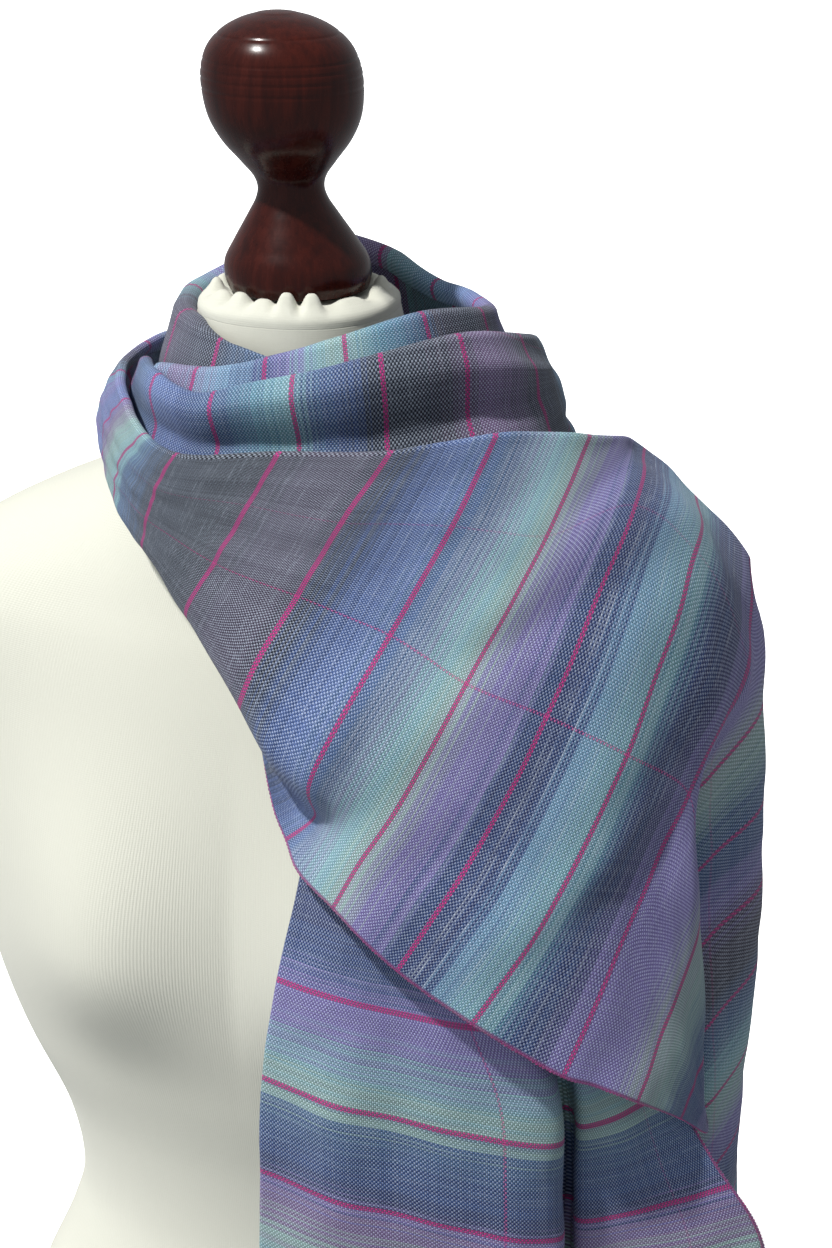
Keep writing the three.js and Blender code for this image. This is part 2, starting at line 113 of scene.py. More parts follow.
# The length from the shoulder. hem and shin reach the upright fold's edge in front, cleft is the
# deep hollow behind it, and side, rear and back carry the cloth round behind.
DrapeRow = namedtuple("DrapeRow", "stripe hem shin edge cleft side rear back")
SHOULDER_DRAPE = [DrapeRow(*row) for row in (
    (7.4, (184, -131, 379), (201, -97, 432), (213, -65, 474), (200, -38, 490),
     (214, -4, 507), (221, 46, 536), (192, 92, 548)),
    (8, (202, -118, 366), (211, -90, 404), (217, -65, 440), (193, -35, 463),
     (208, -3, 480), (222, 52, 498), (188, 102, 508)),
    (9, (217, -93, 345), (221, -79, 357), (221, -64, 374), (195, -36, 412),
     (209, -4, 437), (224, 58, 446), (186, 108, 454)),
    (9.7, (227, -74, 327), (224, -68, 333), (216, -60, 344), (195, -38, 376),
     (210, -5, 408), (224, 60, 415), (184, 112, 422)),
    (10.5, (196, 22, 300), (186, -18, 312), (190, -44, 326), (197, -33, 346),
     (213, -6, 370), (224, 62, 377), (182, 114, 384)),
    (12, (180, 40, 244), (178, -4, 250), (188, -42, 266), (197, -32, 284),
     (218, -4, 302), (223, 62, 309), (180, 116, 316)),
    (15, (180, 42, 124), (178, -4, 128), (188, -40, 140), (198, -30, 156),
     (217, -2, 170), (222, 62, 176), (180, 114, 182)),
)]
DRAPE_ON_PANEL = (0, 0.4, 0.6, 0.7, 0.8, 0.9, 1)   # where the seven stations leave the panel's end
DRAPE_WIDTHS = (0, 52, 115, 151, 188, 219, 250)

# The end in front, a row for each height. dip is how much lower the stripes lie at the near fold
# than at the left one.
TailRow = namedtuple("TailRow", "height dip left mid near cleft far right")
FRONT_TAIL = [TailRow(*row) for row in (
    (600, 0, (40, -74), (52, -76), (66, -76), (72, -68), (82, -72), (96, -62)),
    (540, 0, (58, -100), (74, -104), (92, -102), (98, -90), (108, -98), (124, -86)),
    (470, 4, (50, -139), (84, -143), (118, -131), (124, -112), (136, -124), (160, -102)),
    (420, 12, (41, -148), (84, -152), (140, -133), (146, -106), (158, -118), (186, -88)),
    (365, 22, (33, -151), (80, -154), (165, -127), (160, -102), (174, -108), (206, -84)),
    (320, 25, (31, -151), (80, -154), (168, -125), (162, -100), (174, -107), (230, -80)),
    (266, 25, (28, -148), (78, -151), (169, -125), (162, -100), (175, -106), (258, -72)),
    (170, 25, (26, -148), (76, -151), (167, -126), (160, -100), (176, -106), (252, -74)),
    (70, 25, (26, -147), (76, -150), (164, -127), (158, -100), (175, -107), (244, -76)),
)]
TAIL_WIDTHS = (70, 117, 205, 231, 246, 330)
TAIL_DIPS = (0, 0.3, 1, 1.05, 1.05, 0.45)       # the share of a row's dip at each station
TAIL_FIRST_STRIPE = 470                         # height of the tail's first stripe that shows
TAIL_STRIPE_STEP = 52                           # the tail's stripes lie a little further apart

# ---------- the dress form ----------
NECK_TOP = 694
SEAM = 0.3
FORM_SIDES = 160
FORM_RISE = 5.5         # height of one band of the form's skin
FORM_SQUARENESS = 2.25  # exponent of its oval
FOOT_ROUND = 3          # the rounded lower edge
TOP_EDGE = 0.2          # and the crisp upper one, under the cap
BUST_REACH = 24
BUST_X = 78
BUST_Z = 392
BUST_SPREAD = 52
BUST_SPREAD_ABOVE = 78
CAP_RISE = 9
CAP_SIDES = 288
FINIAL_FOOT = NECK_TOP + SEAM + CAP_RISE + SEAM
FINIAL_HEIGHT = 127
FINIAL_LEAN = (-6, -7)  # how far the neck's lean carries its top
FINIAL_SIDES = 96

Oval = namedtuple("Oval", "z half fore back")
FORM_OVALS = [Oval(*row) for row in (
    (0, 168, 112, 122), (65, 171, 112, 122), (127, 161, 102, 110), (176, 140, 92, 93),
    (212, 130, 88, 86), (258, 137, 91, 90), (308, 160, 100, 98), (355, 174, 107, 104),
    (410, 180, 108, 110), (465, 187, 104, 113), (515, 197, 96, 110), (545, 200, 89, 104),
    (562, 189, 83, 98), (576, 170, 78, 92), (593, 138, 71, 84), (607, 107, 65, 76),
    (621, 81, 60, 68), (638, 63, 55, 61), (660, 54, 51, 55), (684, 49, 48, 50),
    (NECK_TOP, 47, 47, 47),
)]

# The gathered cap: radius at each height, and how strongly it is gathered there.
CapRing = namedtuple("CapRing", "up radius gather")
CAP_RINGS = [CapRing(*row) for row in (
    (-0.28, 47, 0), (-0.1, 47, 0), (2, 47, 0), (4, 46.6, 0), (5.6, 45.4, 0.08), (6.8, 43.4, 0.25),
    (7.6, 41.2, 0.55), (8.1, 39.6, 0.85), (8.4, 38, 1), (8.4, 36.4, 1), (8.0, 35.4, 0.7),
    (7.4, 34.6, 0.3), (7, 32, 0),
)]
# The gathers of the cap: degrees round from the front, height of each, and half its width in degrees.
Gather = namedtuple("Gather", "turn rise spread")
GATHERS = [Gather(*row) for row in (
    (-24, 4.2, 8), (-5, 2.6, 8), (12, 6.4, 6.5), (29, 5.8, 6.5), (58, 1.6, 13), (90, 3.4, 8),
    (112, 4.6, 7), (133, 2.6, 9), (154, 5.0, 7), (174, 4.0, 8), (197, 5.4, 7), (222, 2.8, 9),
    (245, 4.8, 8), (270, 3.6, 8), (292, 5.2, 7), (313, 2.4, 9),
)]
GATHER_OUT = 0.28       # how far a gather pushes outwards, as a share of its height
GATHER_HOLLOW = 1.6     # how deep the hollow between two gathers is
GATHER_CRISPNESS = 3.4  # exponent of a gather's outline
CAP_ROUNDING = (4, 8)   # heights between which the cap turns from the form's oval to round

# The turned finial: radius at each height above its foot.
FINIAL_PROFILE = (
    (0, 33), (5, 34.5), (13, 34), (22, 29), (34, 21.5), (42, 16.8), (47, 15.6), (52, 16.8),
    (59, 22), (69, 30), (79, 35), (90, 37), (101, 36.8), (111, 33.4), (118.5, 26.5), (123.5, 17.5),
    (126.2, 8.5),
)
TURNED_LINES = (93, 98, 102, 106, 117)      # heights of the fine lines left by the turning tool
TURNED_LINE_DEPTH = 0.35
TURNED_LINE_WIDTH = 0.45
FINIAL_ROWS = 260
FINIAL_CROWN = (0.92, 0.75, 0.5, 0.25)      # the top's last rings, as shares of its radius

JERSEY_WALES = 540      # upright ribs of the knit, all round
JERSEY_COURSES = 6200   # its rows, in radians for each metre of height

# ---------- dyes: sRGB colours of the yarns ----------
DYES = {
    "slate": (30, 41, 62), "charcoal": (20, 27, 40), "mauve": (74, 62, 88), "rose": (150, 120, 172),
    "denim": (46, 82, 150), "periwinkle": (106, 136, 206), "sky": (130, 182, 220),
    "aqua": (146, 202, 212), "mint": (170, 208, 200), "pale": (174, 188, 198),
    "lavender": (142, 128, 204), "indigo": (32, 50, 116), "navy": (18, 27, 58),
    "teal": (98, 164, 190), "steel": (68, 110, 160), "cloud": (140, 156, 194),
}
PINK = (212, 60, 146)
DEEP_PINK = (104, 40, 92)
SELVEDGE_MAUVE = (112, 84, 132)
PALE_WARP = (196, 208, 226)

# The dyes along each stretch: the stripes' count at which each one is full.
DYED_LENGTHS = {
    "inner_turn": (
        (-6.6, "navy"), (-5.7, "steel"), (-4.9, "slate"), (-4.1, "mauve"), (-3.5, "mauve"), (-2.9, "aqua"),
        (-2.3, "lavender"), (-1.5, "cloud"), (-0.8, "lavender"), (0, "rose"), (0.3, "aqua"), (0.9, "sky"),
        (1.6, "periwinkle"), (2.3, "lavender"), (2.8, "mauve"), (3.4, "slate"), (3.9, "mauve"),
        (4.1, "steel"), (4.6, "teal"), (5.0, "mint"), (5.4, "aqua"), (5.7, "lavender"), (6.1, "denim"),
        (6.6, "sky"), (7.2, "rose"), (7.8, "sky"),
    ),
    # Along the neck band's front, up to count 1, the denim, steel and slate are partly its own dyes and
    # partly painted shade for the shadow under its rolled top.
    "neck_band": (
        (-3.2, "denim"), (-2.4, "steel"), (-1.9, "periwinkle"), (-1.35, "denim"), (-0.8, "steel"),
        (-0.4, "teal"), (-0.1, "aqua"), (0.2, "steel"), (0.55, "denim"), (0.95, "slate"), (1.4, "slate"),
        (1.8, "mauve"), (2.3, "rose"), (2.9, "mauve"), (3.1, "navy"), (3.6, "charcoal"), (3.9, "sky"),
        (4.3, "periwinkle"), (5, "lavender"), (5.8, "steel"), (6.5, "aqua"), (7.6, "denim"),
    ),
    "front_panel": (
        (-7.2, "denim"), (-6.4, "lavender"), (-5.6, "steel"), (-5, "aqua"), (-4.2, "lavender"),
        (-3.4, "mauve"), (-2.9, "sky"), (-2.6, "lavender"), (-2.2, "periwinkle"), (-1.8, "rose"),
        (-1.4, "mint"), (-0.95, "aqua"), (-0.6, "steel"), (-0.15, "slate"), (0.8, "charcoal"),
        (1.35, "mauve"), (1.8, "mauve"), (2.1, "slate"), (2.4, "denim", 0.3), (2.8, "periwinkle", 0.4),
        (3.1, "steel", 0.5), (3.35, "cloud", 0.5), (3.65, "aqua", 0.5), (3.95, "mint", 0.4),
        (4.15, "pale", 0.4), (4.4, "lavender", 0.3), (4.6, "lavender", 0.3), (4.85, "denim", 0.4),
        (5.05, "indigo", 0.8), (5.35, "denim", 1), (5.6, "sky", 0.8), (5.95, "aqua", 0.4),
    ),
    "shoulder_drape": (
        (5.95, "aqua", 0.4), (6.15, "teal", 0.4), (6.4, "denim", 0.4), (6.65, "indigo", 0.6),
        (7.1, "lavender"), (7.6, "lavender"), (7.95, "pale"), (8.3, "mint"), (8.8, "steel"), (9.3, "denim"),
        (9.8, "lavender"), (10.2, "mauve"), (10.7, "navy"), (11.2, "steel"), (11.7, "aqua"), (12.2, "mint"),
        (12.7, "lavender"), (13.2, "denim"), (13.7, "indigo"), (14.2, "teal"), (14.7, "cloud"),
        (15, "lavender"),
    ),
    "front_tail": (
        (-1.6, "slate"), (-0.5, "denim"), (0.6, "denim"), (1.3, "indigo"), (1.65, "denim"), (2.0, "lavender"),
        (2.3, "lavender"), (2.7, "aqua"), (2.95, "mint"), (3.2, "steel"), (3.6, "denim"), (3.95, "indigo"),
        (4.1, "lavender"), (4.35, "rose"), (4.7, "mint"), (5.1, "aqua"), (5.5, "steel"), (6, "navy"),
        (6.5, "periwinkle"), (7, "lavender"), (7.5, "sky"), (8, "mint"), (8.6, "denim"),
    ),
}
DYE_STREAKS = 0.2       # how streaked the cloth is at a dye that gives no share of its own
WEFT_DEPTH = 0.58       # how much darker the weft looks than its dye, between the warp's pale ends
WARP_PALENESS = 0.3     # how far the warp's ends are from the dye beside them to undyed silk
WARP_VARIES = 0.16      # and how much that differs from end to end
PALE_PICK_FROM = 0.82   # picks with a random number above this are pale
PINK_ON_WEFT = 0.9      # how fully a stripe covers the weft
PINK_ON_WARP = 0.75     # and shows through the warp
THREAD_WANDER = 0.0004  # metres that a pick strays from straight

# The faint pink warp lines that each piece shows: how far across each one is, and how strong.
WarpLine = namedtuple("WarpLine", "across strength")
WARP_LINES = {
    "inner_turn": (WarpLine(110, 0), WarpLine(220, 0)),
    "wrap": (WarpLine(115, 0.6), WarpLine(188, 0.25)),
    "front_tail": (WarpLine(177, 0.55), WarpLine(297, 0.2)),
}

# Where the stripes cross the two windings: distance along the winding, and the stripes' count.
INNER_STRIPES = ((0, -6.45), (103, -4), (280, 0), (401, 3), (523, 6), (592, 7.7))
BAND_STRIPES = ((0, -3.1), (128.5, 0), (171, 1), (210.5, 2), (256, 3), (298, 4))
BAND_AHEAD = 15         # the band's first stripe is so many before the panel's
NAPE_STRIPE = -7.1      # the panel's count at the nape
BAND_WIDTHS = (130, 152, 175)       # what shows of the cloth's width across the throat
NAPE_WIDTHS = (0, 110, 250)         # and at the nape, where the cloth is bunched
BUNCHED_FROM = 40                   # degrees round from the front
NAPE_TURN = 180
INNER_WIDTH_FROM = 60               # how far across the cloth the inner winding's hem is

# How the edges are rolled in: distance along the inner winding, and the radius of its rim there.
INNER_FOLD = ((20, 0.7), (55, 1.2), (90, 5.6), (190, 5.6), (270, 5.0), (340, 4.0), (400, 3.2), (600, 3.2))
INNER_HEM = 4           # how far it is turned back there
WRAP_FOLD = ((-9, 3.0), (-6, 2.0), (7, 2.2), (9, 2.4))      # stripes' count, radius of the upper fold
WRAP_HEM = ((-9, 8), (-6, 9), (7, 9), (10, 16))             # and how far the cloth is turned back
TAIL_FOLD = 1.5
TAIL_HEM = 12
FOLD_STEPS = 6          # columns of points round a fold
HEM_STEPS = 3           # and along what is turned back
EDGE_SMOOTHING = 6      # rows to each side that even out a fold's direction
EDGE_THIN = 0.45        # the wall's thickness at the cloth's edges, as a share

# ---------- shapes ----------


def along_curve(stations, at):
    """Points at shares of the way along centripetal curves through the stations, on the first axis.

    The first three values of the last axis are the place, and any others are carried with it.
    """
    spans = len(stations) - 1
    first = 2 * stations[:1] - stations[1:2]
    last = 2 * stations[-1:] - stations[-2:-1]
    p = np.concatenate([first, stations, last])
    gap = np.linalg.norm(np.diff(p[..., :3], axis=0), axis=-1, keepdims=True) ** 0.5
    reach = np.asarray(at, float) * spans
    k = np.clip(reach.astype(int), 0, spans - 1)
    u = (reach - k).reshape(-1, *[1] * (p.ndim - 1))
    before, start, end, after = (p[k + i] for i in range(4))
    d0, d1, d2 = (gap[k + i] for i in range(3))
    leave = d1 * ((start - before) / d0 - (end - before) / (d0 + d1) + (end - start) / d1)
    arrive = d1 * ((end - start) / d1 - (after - start) / (d1 + d2) + (after - end) / d2)
    rise = end - start
    return start + leave * u + (3 * rise - 2 * leave - arrive) * u**2 + (leave + arrive - 2 * rise) * u**3


def surface(stations, along, across):
    """A grid on the smooth surface through rows of stations: along rows of across points."""
    rows = along_curve(np.swapaxes(stations, 0, 1), np.linspace(0, 1, across))
    return along_curve(np.swapaxes(rows, 0, 1), np.linspace(0, 1, along))


def unit(vectors):
    return vectors / np.maximum(np.linalg.norm(vectors, axis=-1, keepdims=True), 1e-9)


def normals_of(grid):
    place = grid[..., :3]
    return unit(np.cross(np.gradient(place, axis=0), np.gradient(place, axis=1)))


def outer_normals(grid):
    """The grid's normals on the side that faces away from the form."""
    normals = normals_of(grid)
    away = grid[..., :3] * (1, 1, 0)
    return normals * np.sign((normals * away).sum())


def smoothed(values, half):
    """A running mean along the first axis, over half points on each side."""
    padded = np.concatenate([values[:1].repeat(half, 0), values, values[-1:].repeat(half, 0)])
    total = np.cumsum(np.concatenate([np.zeros_like(padded[:1]), padded]), axis=0)
    return (total[2 * half + 1:] - total[:-2 * half - 1]) / (2 * half + 1)


def lengths_along(points):
    steps = np.linalg.norm(np.diff(points, axis=0), axis=-1)
    return np.concatenate([[0], np.cumsum(steps)])


def lerp(a, b, share):
    return a + (b - a) * share


def smoothstep(low, high, value):
    share = np.clip((value - low) / (high - low), 0, 1)
    return share * share * (3 - 2 * share)


def polar(turn, reach, height):
    angle = math.radians(turn)
    return (reach * math.sin(angle), -reach * math.cos(angle), height)


# ---------- creases ----------
# From one place on the cloth to another, in stripes along and millimetres across: how far the soft
# ridge (or trough, below 0) stands from the cloth, and how wide it is to each side.
Crease = namedtuple("Crease", "stripe across to_stripe to_across lift reach")
CREASES = {
    "inner_turn": (
        Crease(-2.6, 74, 0.2, 92, -2.2, 7), Crease(0.8, 70, 3.4, 88, 1.8, 6),
    ),
    "wrap": (
        Crease(-17.8, 169, -11.4, 170, 2.6, 6), Crease(-17.6, 151, -11.9, 149, -9.0, 10),
        Crease(-12.5, 140, -9.5, 90, -2.4, 9), Crease(-10.5, 60, -7.2, 130, 2.4, 14),
        Crease(-6.5, 40, -4.2, 150, -2.4, 12), Crease(-4.6, 180, -2.2, 90, 2.0, 14),
        Crease(0.4, 140, 3.0, 168, -1.4, 18), Crease(0.8, 84, 3.2, 92, 1.2, 18),
        Crease(3.3, 112, 6.3, 192, -3.0, 13), Crease(2.4, 76, 4.6, 96, 1.2, 16),
        Crease(4.2, 20, 5.4, 70, -2.4, 16), Crease(5.8, 30, 6.8, 120, 1.8, 14),
        Crease(7.74, 152, 7.8, 198, -3.0, 11), Crease(7.15, 160, 7.25, 204, 4.0, 10),
        Crease(7.9, 168, 15.6, 168, -8.0, 9), Crease(4.3, 262, 4.75, 212, 4.0, 13),
        Crease(8.2, 195, 12.5, 225, 3.0, 14), Crease(9.0, 232, 14.5, 214, -3.2, 12),
        Crease(11.0, 30, 15.0, 60, 3.0, 16), Crease(10.6, 96, 15.0, 84, -3.0, 13),
    ),
    "front_tail": (
        Crease(2.4, 233, 9.5, 233, -15.0, 6), Crease(1.6, 128, 7.5, 150, -2.2, 15),
        Crease(2.8, 178, 8.5, 186, 2.0, 13), Crease(3.4, 262, 8.6, 292, -3.0, 12),
        Crease(2.6, 96, 4.6, 118, 1.2, 12),
    ),
}
CREASE_ENDS = (0.08, 0.92)      # the stretch of half a wave that a crease swells and sinks by
# The cloth's own unevenness, in waves: length along, length across, turn in the wave, height.
RIPPLES = ((61, 97, 0.4, 0.35), (37, -58, 2.1, 0.22), (148, 41, 4.0, 0.3), (23, 31, 1.2, 0.1))


def creased(grid, creases):
    """The grid with its creases and its own unevenness raised on its outer side."""
    plan = grid[..., 3:5]
    lift = np.zeros(grid.shape[:2])
    for crease in creases:
        start = np.array([crease.stripe * STRIPE_STEP, crease.across])
        run = np.array([crease.to_stripe * STRIPE_STEP, crease.to_across]) - start
        share = np.clip((plan - start) @ run / (run @ run), 0, 1)
        off = np.linalg.norm(plan - start - share[..., None] * run, axis=-1)
        swell = np.sin(math.pi * lerp(*CREASE_ENDS, share))
        lift += crease.lift * np.exp(-(off / crease.reach) ** 2) * swell
    for along, across, turn, height in RIPPLES:
        lift += height * np.sin(2 * math.pi * (plan[..., 0] / along + plan[..., 1] / across) + turn)
    out = grid.copy()
    out[..., :3] += outer_normals(grid) * lift[..., None]
    return out


def turned(grid, radius, depth, at_end=True):
    """The grid with one long edge folded in: rounded at a radius, then turned back by a depth."""
    if not at_end:
        return turned(grid[:, ::-1], radius, depth)[:, ::-1]
    edge = grid[:, -1]
    outward = unit(smoothed(unit(edge[:, :3] - grid[:, -4, :3]), EDGE_SMOOTHING))
    behind = -unit(smoothed(outer_normals(grid)[:, -1], EDGE_SMOOTHING))
    onward = np.sign(edge[:, 4] - grid[:, -2, 4])
    radius, depth = (np.broadcast_to(size, len(grid))[:, None] for size in (radius, depth))
    columns = []
    for angle in np.linspace(0, math.pi, FOLD_STEPS + 1)[1:]:
        column = edge.copy()
        column[:, :3] += radius * (math.sin(angle) * outward + (1 - math.cos(angle)) * behind)
        column[:, 4] += onward * radius[:, 0] * angle
        columns.append(column)
    for share in np.linspace(0, 1, HEM_STEPS + 1)[1:]:
        column = columns[FOLD_STEPS - 1].copy()
        column[:, :3] -= share * depth * outward
        column[:, 4] += onward * share * depth[:, 0]
        columns.append(column)
    return np.concatenate([grid, np.stack(columns, axis=1)], axis=1)


# ---------- the scarf's stretches ----------


PLAN_END = 6    # place, distance along for the stripes, distance across, distance along for the threads


def with_plan(stations, counts, widths):
    """Rows of stations with their place on the flat cloth."""
    out = np.zeros((*stations.shape[:2], PLAN_END))
    out[..., :3] = stations
    out[..., 3] = np.broadcast_to(counts, stations.shape[:2]) * STRIPE_STEP
    out[..., 4] = widths
    out[..., 5] = out[..., 3]
    return out


def winding_rows(table):
    """The stations of a winding round the neck, from hem to rim, rounded out between them."""
    rows = []
    for row in table:
        for up, bulge in ((0, 0), (0.5, WINDING_BULGE), (1, 0)):
            reach = lerp(row.hem, row.rim, up) + bulge
            rows.append(polar(row.turn, reach, lerp(row.hem_z, row.rim_z, up)))
    return np.array(rows).reshape(len(table), 3, 3)


def inner_turn():
    size = GRIDS["inner_turn"]
    place = surface(winding_rows(INNER_TURN), *size)
    travel = lengths_along(place[:, size[1] // 2])
    rise = np.linalg.norm(np.diff(place, axis=1, prepend=place[:, :1]), axis=-1).cumsum(axis=1)
    grid = np.zeros((*size, PLAN_END))
    grid[..., :3] = place
    grid[..., 3] = (np.interp(travel, *zip(*INNER_STRIPES)) * STRIPE_STEP)[:, None]
    grid[..., 4] = INNER_WIDTH_FROM + rise
    grid[..., 5] = travel[:, None]
    grid = creased(grid, CREASES["inner_turn"])
    return turned(grid, np.interp(travel, *zip(*INNER_FOLD)), INNER_HEM)


def table_rows(table, widths):
    """The stations of a table that has a row for each count of the stripes."""
    rows = np.array([row[1:] for row in table], float)
    counts = np.array([row.stripe for row in table])[:, None]
    return with_plan(rows, counts, widths)


def band_counts(travel):
    """The stripes' count at distances along the neck band, the last of them at the nape."""
    marks = (*BAND_STRIPES, (travel[-1], NAPE_STRIPE + BAND_AHEAD))
    return np.interp(travel, *zip(*marks)) - BAND_AHEAD


def band_rows():
    rows = winding_rows(NECK_BAND)
    counts = band_counts(lengths_along(rows[:, 1]))[:, None]
    bunched = smoothstep(BUNCHED_FROM, NAPE_TURN, np.array([row.turn for row in NECK_BAND]))[:, None]
    return with_plan(rows, counts, lerp(np.array(BAND_WIDTHS), np.array(NAPE_WIDTHS), bunched))


def wrap():
    """The neck band, front panel and shoulder's length as one cloth, from hem to upper edge."""
    along, across = GRIDS["wrap"]
    shares = np.linspace(0, 1, across)
    on_drape = np.interp(shares, DRAPE_ON_PANEL, np.linspace(0, 1, len(DRAPE_ON_PANEL)))
    stretches = (
        (band_rows(), shares),
        (table_rows(FRONT_PANEL, PANEL_WIDTHS), shares),
        (table_rows(SHOULDER_DRAPE, DRAPE_WIDTHS), on_drape),
    )
    lines = [along_curve(line, at) for rows, at in stretches for line in rows]
    ends = np.cumsum([len(rows) for rows, _ in stretches]) - 1
    points = np.cumsum([0] + [round(along * share) for share in WRAP_SHARES])
    at = np.interp(np.arange(points[-1]), [0, points[1], points[2], points[3] - 1], [0, *ends])
    grid = along_curve(np.array(lines), at / ends[-1])

    nape = points[1]
    travel = lengths_along(grid[:nape + 1, across // 2, :3])
    grid[:nape, :, 3] = (band_counts(travel)[:nape] * STRIPE_STEP)[:, None]
    grid[:nape, :, 5] = (travel[:nape] - travel[-1] + NAPE_STRIPE * STRIPE_STEP)[:, None]

    grid = creased(grid, CREASES["wrap"])
    count = grid[:, -1, 3] / STRIPE_STEP
    return turned(grid, np.interp(count, *zip(*WRAP_FOLD)), np.interp(count, *zip(*WRAP_HEM)))


def front_tail():
    rows = np.array([[(x, y, row.height) for x, y in row[2:]] for row in FRONT_TAIL], float)
    dips = np.outer([row.dip for row in FRONT_TAIL], TAIL_DIPS)
    counts = 1 + (TAIL_FIRST_STRIPE - rows[..., 2] - dips) / TAIL_STRIPE_STEP
    grid = surface(with_plan(rows, counts, TAIL_WIDTHS), *GRIDS["front_tail"])
    grid = creased(grid, CREASES["front_tail"])
    return turned(grid, TAIL_FOLD, TAIL_HEM, at_end=False)


# ---------- the dress form ----------


def oval_at(z):
    """The form's half width, reach forward and reach back at a height, on a smooth curve."""
    k = 0
    while k < len(FORM_OVALS) - 2 and FORM_OVALS[k + 1].z < z:
        k += 1
    low, high = FORM_OVALS[k], FORM_OVALS[k + 1]
    under, over = FORM_OVALS[max(k - 1, 0)], FORM_OVALS[min(k + 2, len(FORM_OVALS) - 1)]
    t = (z - low.z) / (high.z - low.z)
    blended = []
    for n in (1, 2, 3):
        rise = high[n] - low[n]
        leave = rise if under is low else (high[n] - under[n]) * (high.z - low.z) / (high.z - under.z)
        arrive = rise if over is high else (over[n] - low[n]) * (high.z - low.z) / (over.z - low.z)
        blended.append(low[n] * (2 * t**3 - 3 * t**2 + 1) + leave * (t**3 - 2 * t**2 + t)
                       + high[n] * (3 * t**2 - 2 * t**3) + arrive * (t**3 - t**2))
    return blended


def angles_round(sides):
    return np.arange(sides) * 2 * math.pi / sides


def oval_reach(angle, half, fore, back):
    """How far a squarish oval reaches at angles round from the front."""
    across = np.abs(np.sin(angle)) / half
    deep = np.abs(np.cos(angle)) / np.where(np.cos(angle) > 0, fore, back)
    return (across**FORM_SQUARENESS + deep**FORM_SQUARENESS) ** (-1 / FORM_SQUARENESS)


def form_ring(z, inset=0):
    angle = angles_round(FORM_SIDES)
    reach = oval_reach(angle, *(size - inset for size in oval_at(z)))
    x, y = reach * np.sin(angle), -reach * np.cos(angle)
    side = (np.abs(x) - BUST_X) / BUST_SPREAD
    lift = (z - BUST_Z) / (BUST_SPREAD_ABOVE if z > BUST_Z else BUST_SPREAD)
    bust = np.where(y < 0, BUST_REACH * np.exp(-side**2 - lift**2) * np.cos(angle), 0)
    return np.stack([x, y - bust, np.full(FORM_SIDES, z)], axis=1)


def closed_rings(name, rings, material):
    """A closed mesh through rings of equal count, capped at both ends."""
    sides = len(rings[0])
    places = np.concatenate([*rings, [rings[0].mean(axis=0)], [rings[-1].mean(axis=0)]])
    here = np.arange(sides)
    onward = (here + 1) % sides
    faces = []
    for i in range(len(rings) - 1):
        low, high = i * sides, (i + 1) * sides
        faces += np.stack([low + here, low + onward, high + onward, high + here], axis=1).tolist()
    foot, top = len(places) - 2, len(places) - 1
    last = (len(rings) - 1) * sides
    faces += [[foot, int(b), int(a)] for a, b in zip(here, onward)]
    faces += [[top, int(last + a), int(last + b)] for a, b in zip(here, onward)]
    return new_piece(name, places, faces, material)


def form_body(material):
    heights = np.linspace(0, NECK_TOP, round(NECK_TOP / FORM_RISE) + 1)[1:]
    foot = [form_ring(FOOT_ROUND * (1 - math.cos(a)), FOOT_ROUND * (1 - math.sin(a)))
            for a in np.linspace(0, math.pi / 2, 4)[:-1]]
    rings = [form_ring(z) for z in (*heights[:-1], NECK_TOP - TOP_EDGE, NECK_TOP)]
    return closed_rings("form_body", foot + rings, material)


def gathered_cap(material):
    """Jersey drawn up into uneven gathers round the finial's foot."""
    angle = angles_round(CAP_SIDES)
    ridge = np.full(CAP_SIDES, -GATHER_HOLLOW)
    for gather in GATHERS:
        off = np.abs((np.degrees(angle) - gather.turn + 180) % 360 - 180) / gather.spread
        ridge += (gather.rise + GATHER_HOLLOW) * np.exp(-off**GATHER_CRISPNESS)
    oval = oval_reach(angle, 1, 1, 1)
    rings = []
    for row in CAP_RINGS:
        reach = row.radius * lerp(oval, 1, smoothstep(*CAP_ROUNDING, row.up))
        reach = reach + GATHER_OUT * row.gather * ridge
        height = NECK_TOP + SEAM + row.up + row.gather * ridge
        rings.append(np.stack([reach * np.sin(angle), -reach * np.cos(angle), height], axis=1))
    return closed_rings("gathered_cap", rings, material)


def turned_finial(material):
    profile = np.array([(r, up, 0) for up, r in FINIAL_PROFILE], float)
    smooth = along_curve(profile, np.linspace(0, 1, FINIAL_ROWS))
    radius, up = smooth[:, 0], smooth[:, 1]
    for line in TURNED_LINES:
        radius = radius - TURNED_LINE_DEPTH * np.exp(-((up - line) / TURNED_LINE_WIDTH) ** 2)
    crown = np.array(FINIAL_CROWN)
    radius = np.concatenate([radius, radius[-1] * crown])
    up = np.concatenate([up, lerp(FINIAL_HEIGHT, up[-1], crown**2)])
    angle = angles_round(FINIAL_SIDES)
    rings = []
    for r, rise in zip(radius, up):
        lean = rise / FINIAL_HEIGHT
        rings.append(np.stack([r * np.sin(angle) + FINIAL_LEAN[0] * lean,
                               -r * np.cos(angle) + FINIAL_LEAN[1] * lean,
                               np.full(FINIAL_SIDES, FINIAL_FOOT + rise)], axis=1))
    return closed_rings("turned_finial", rings, material)


# ---------- meshes ----------


def linked(name, data):
    """A new object with that data, in the scene."""
    thing = bpy.data.objects.new(name, data)
    bpy.context.scene.collection.objects.link(thing)
    return thing


def new_piece(name, places, faces, material):
    """A smooth mesh object at the origin, from places in millimetres."""
    mesh = bpy.data.meshes.new(name)
    mesh.from_pydata((np.asarray(places) * MM).tolist(), [], faces)
    mesh.materials.append(material)
    mesh.shade_smooth()
    mesh.validate()
    return linked(name, mesh)


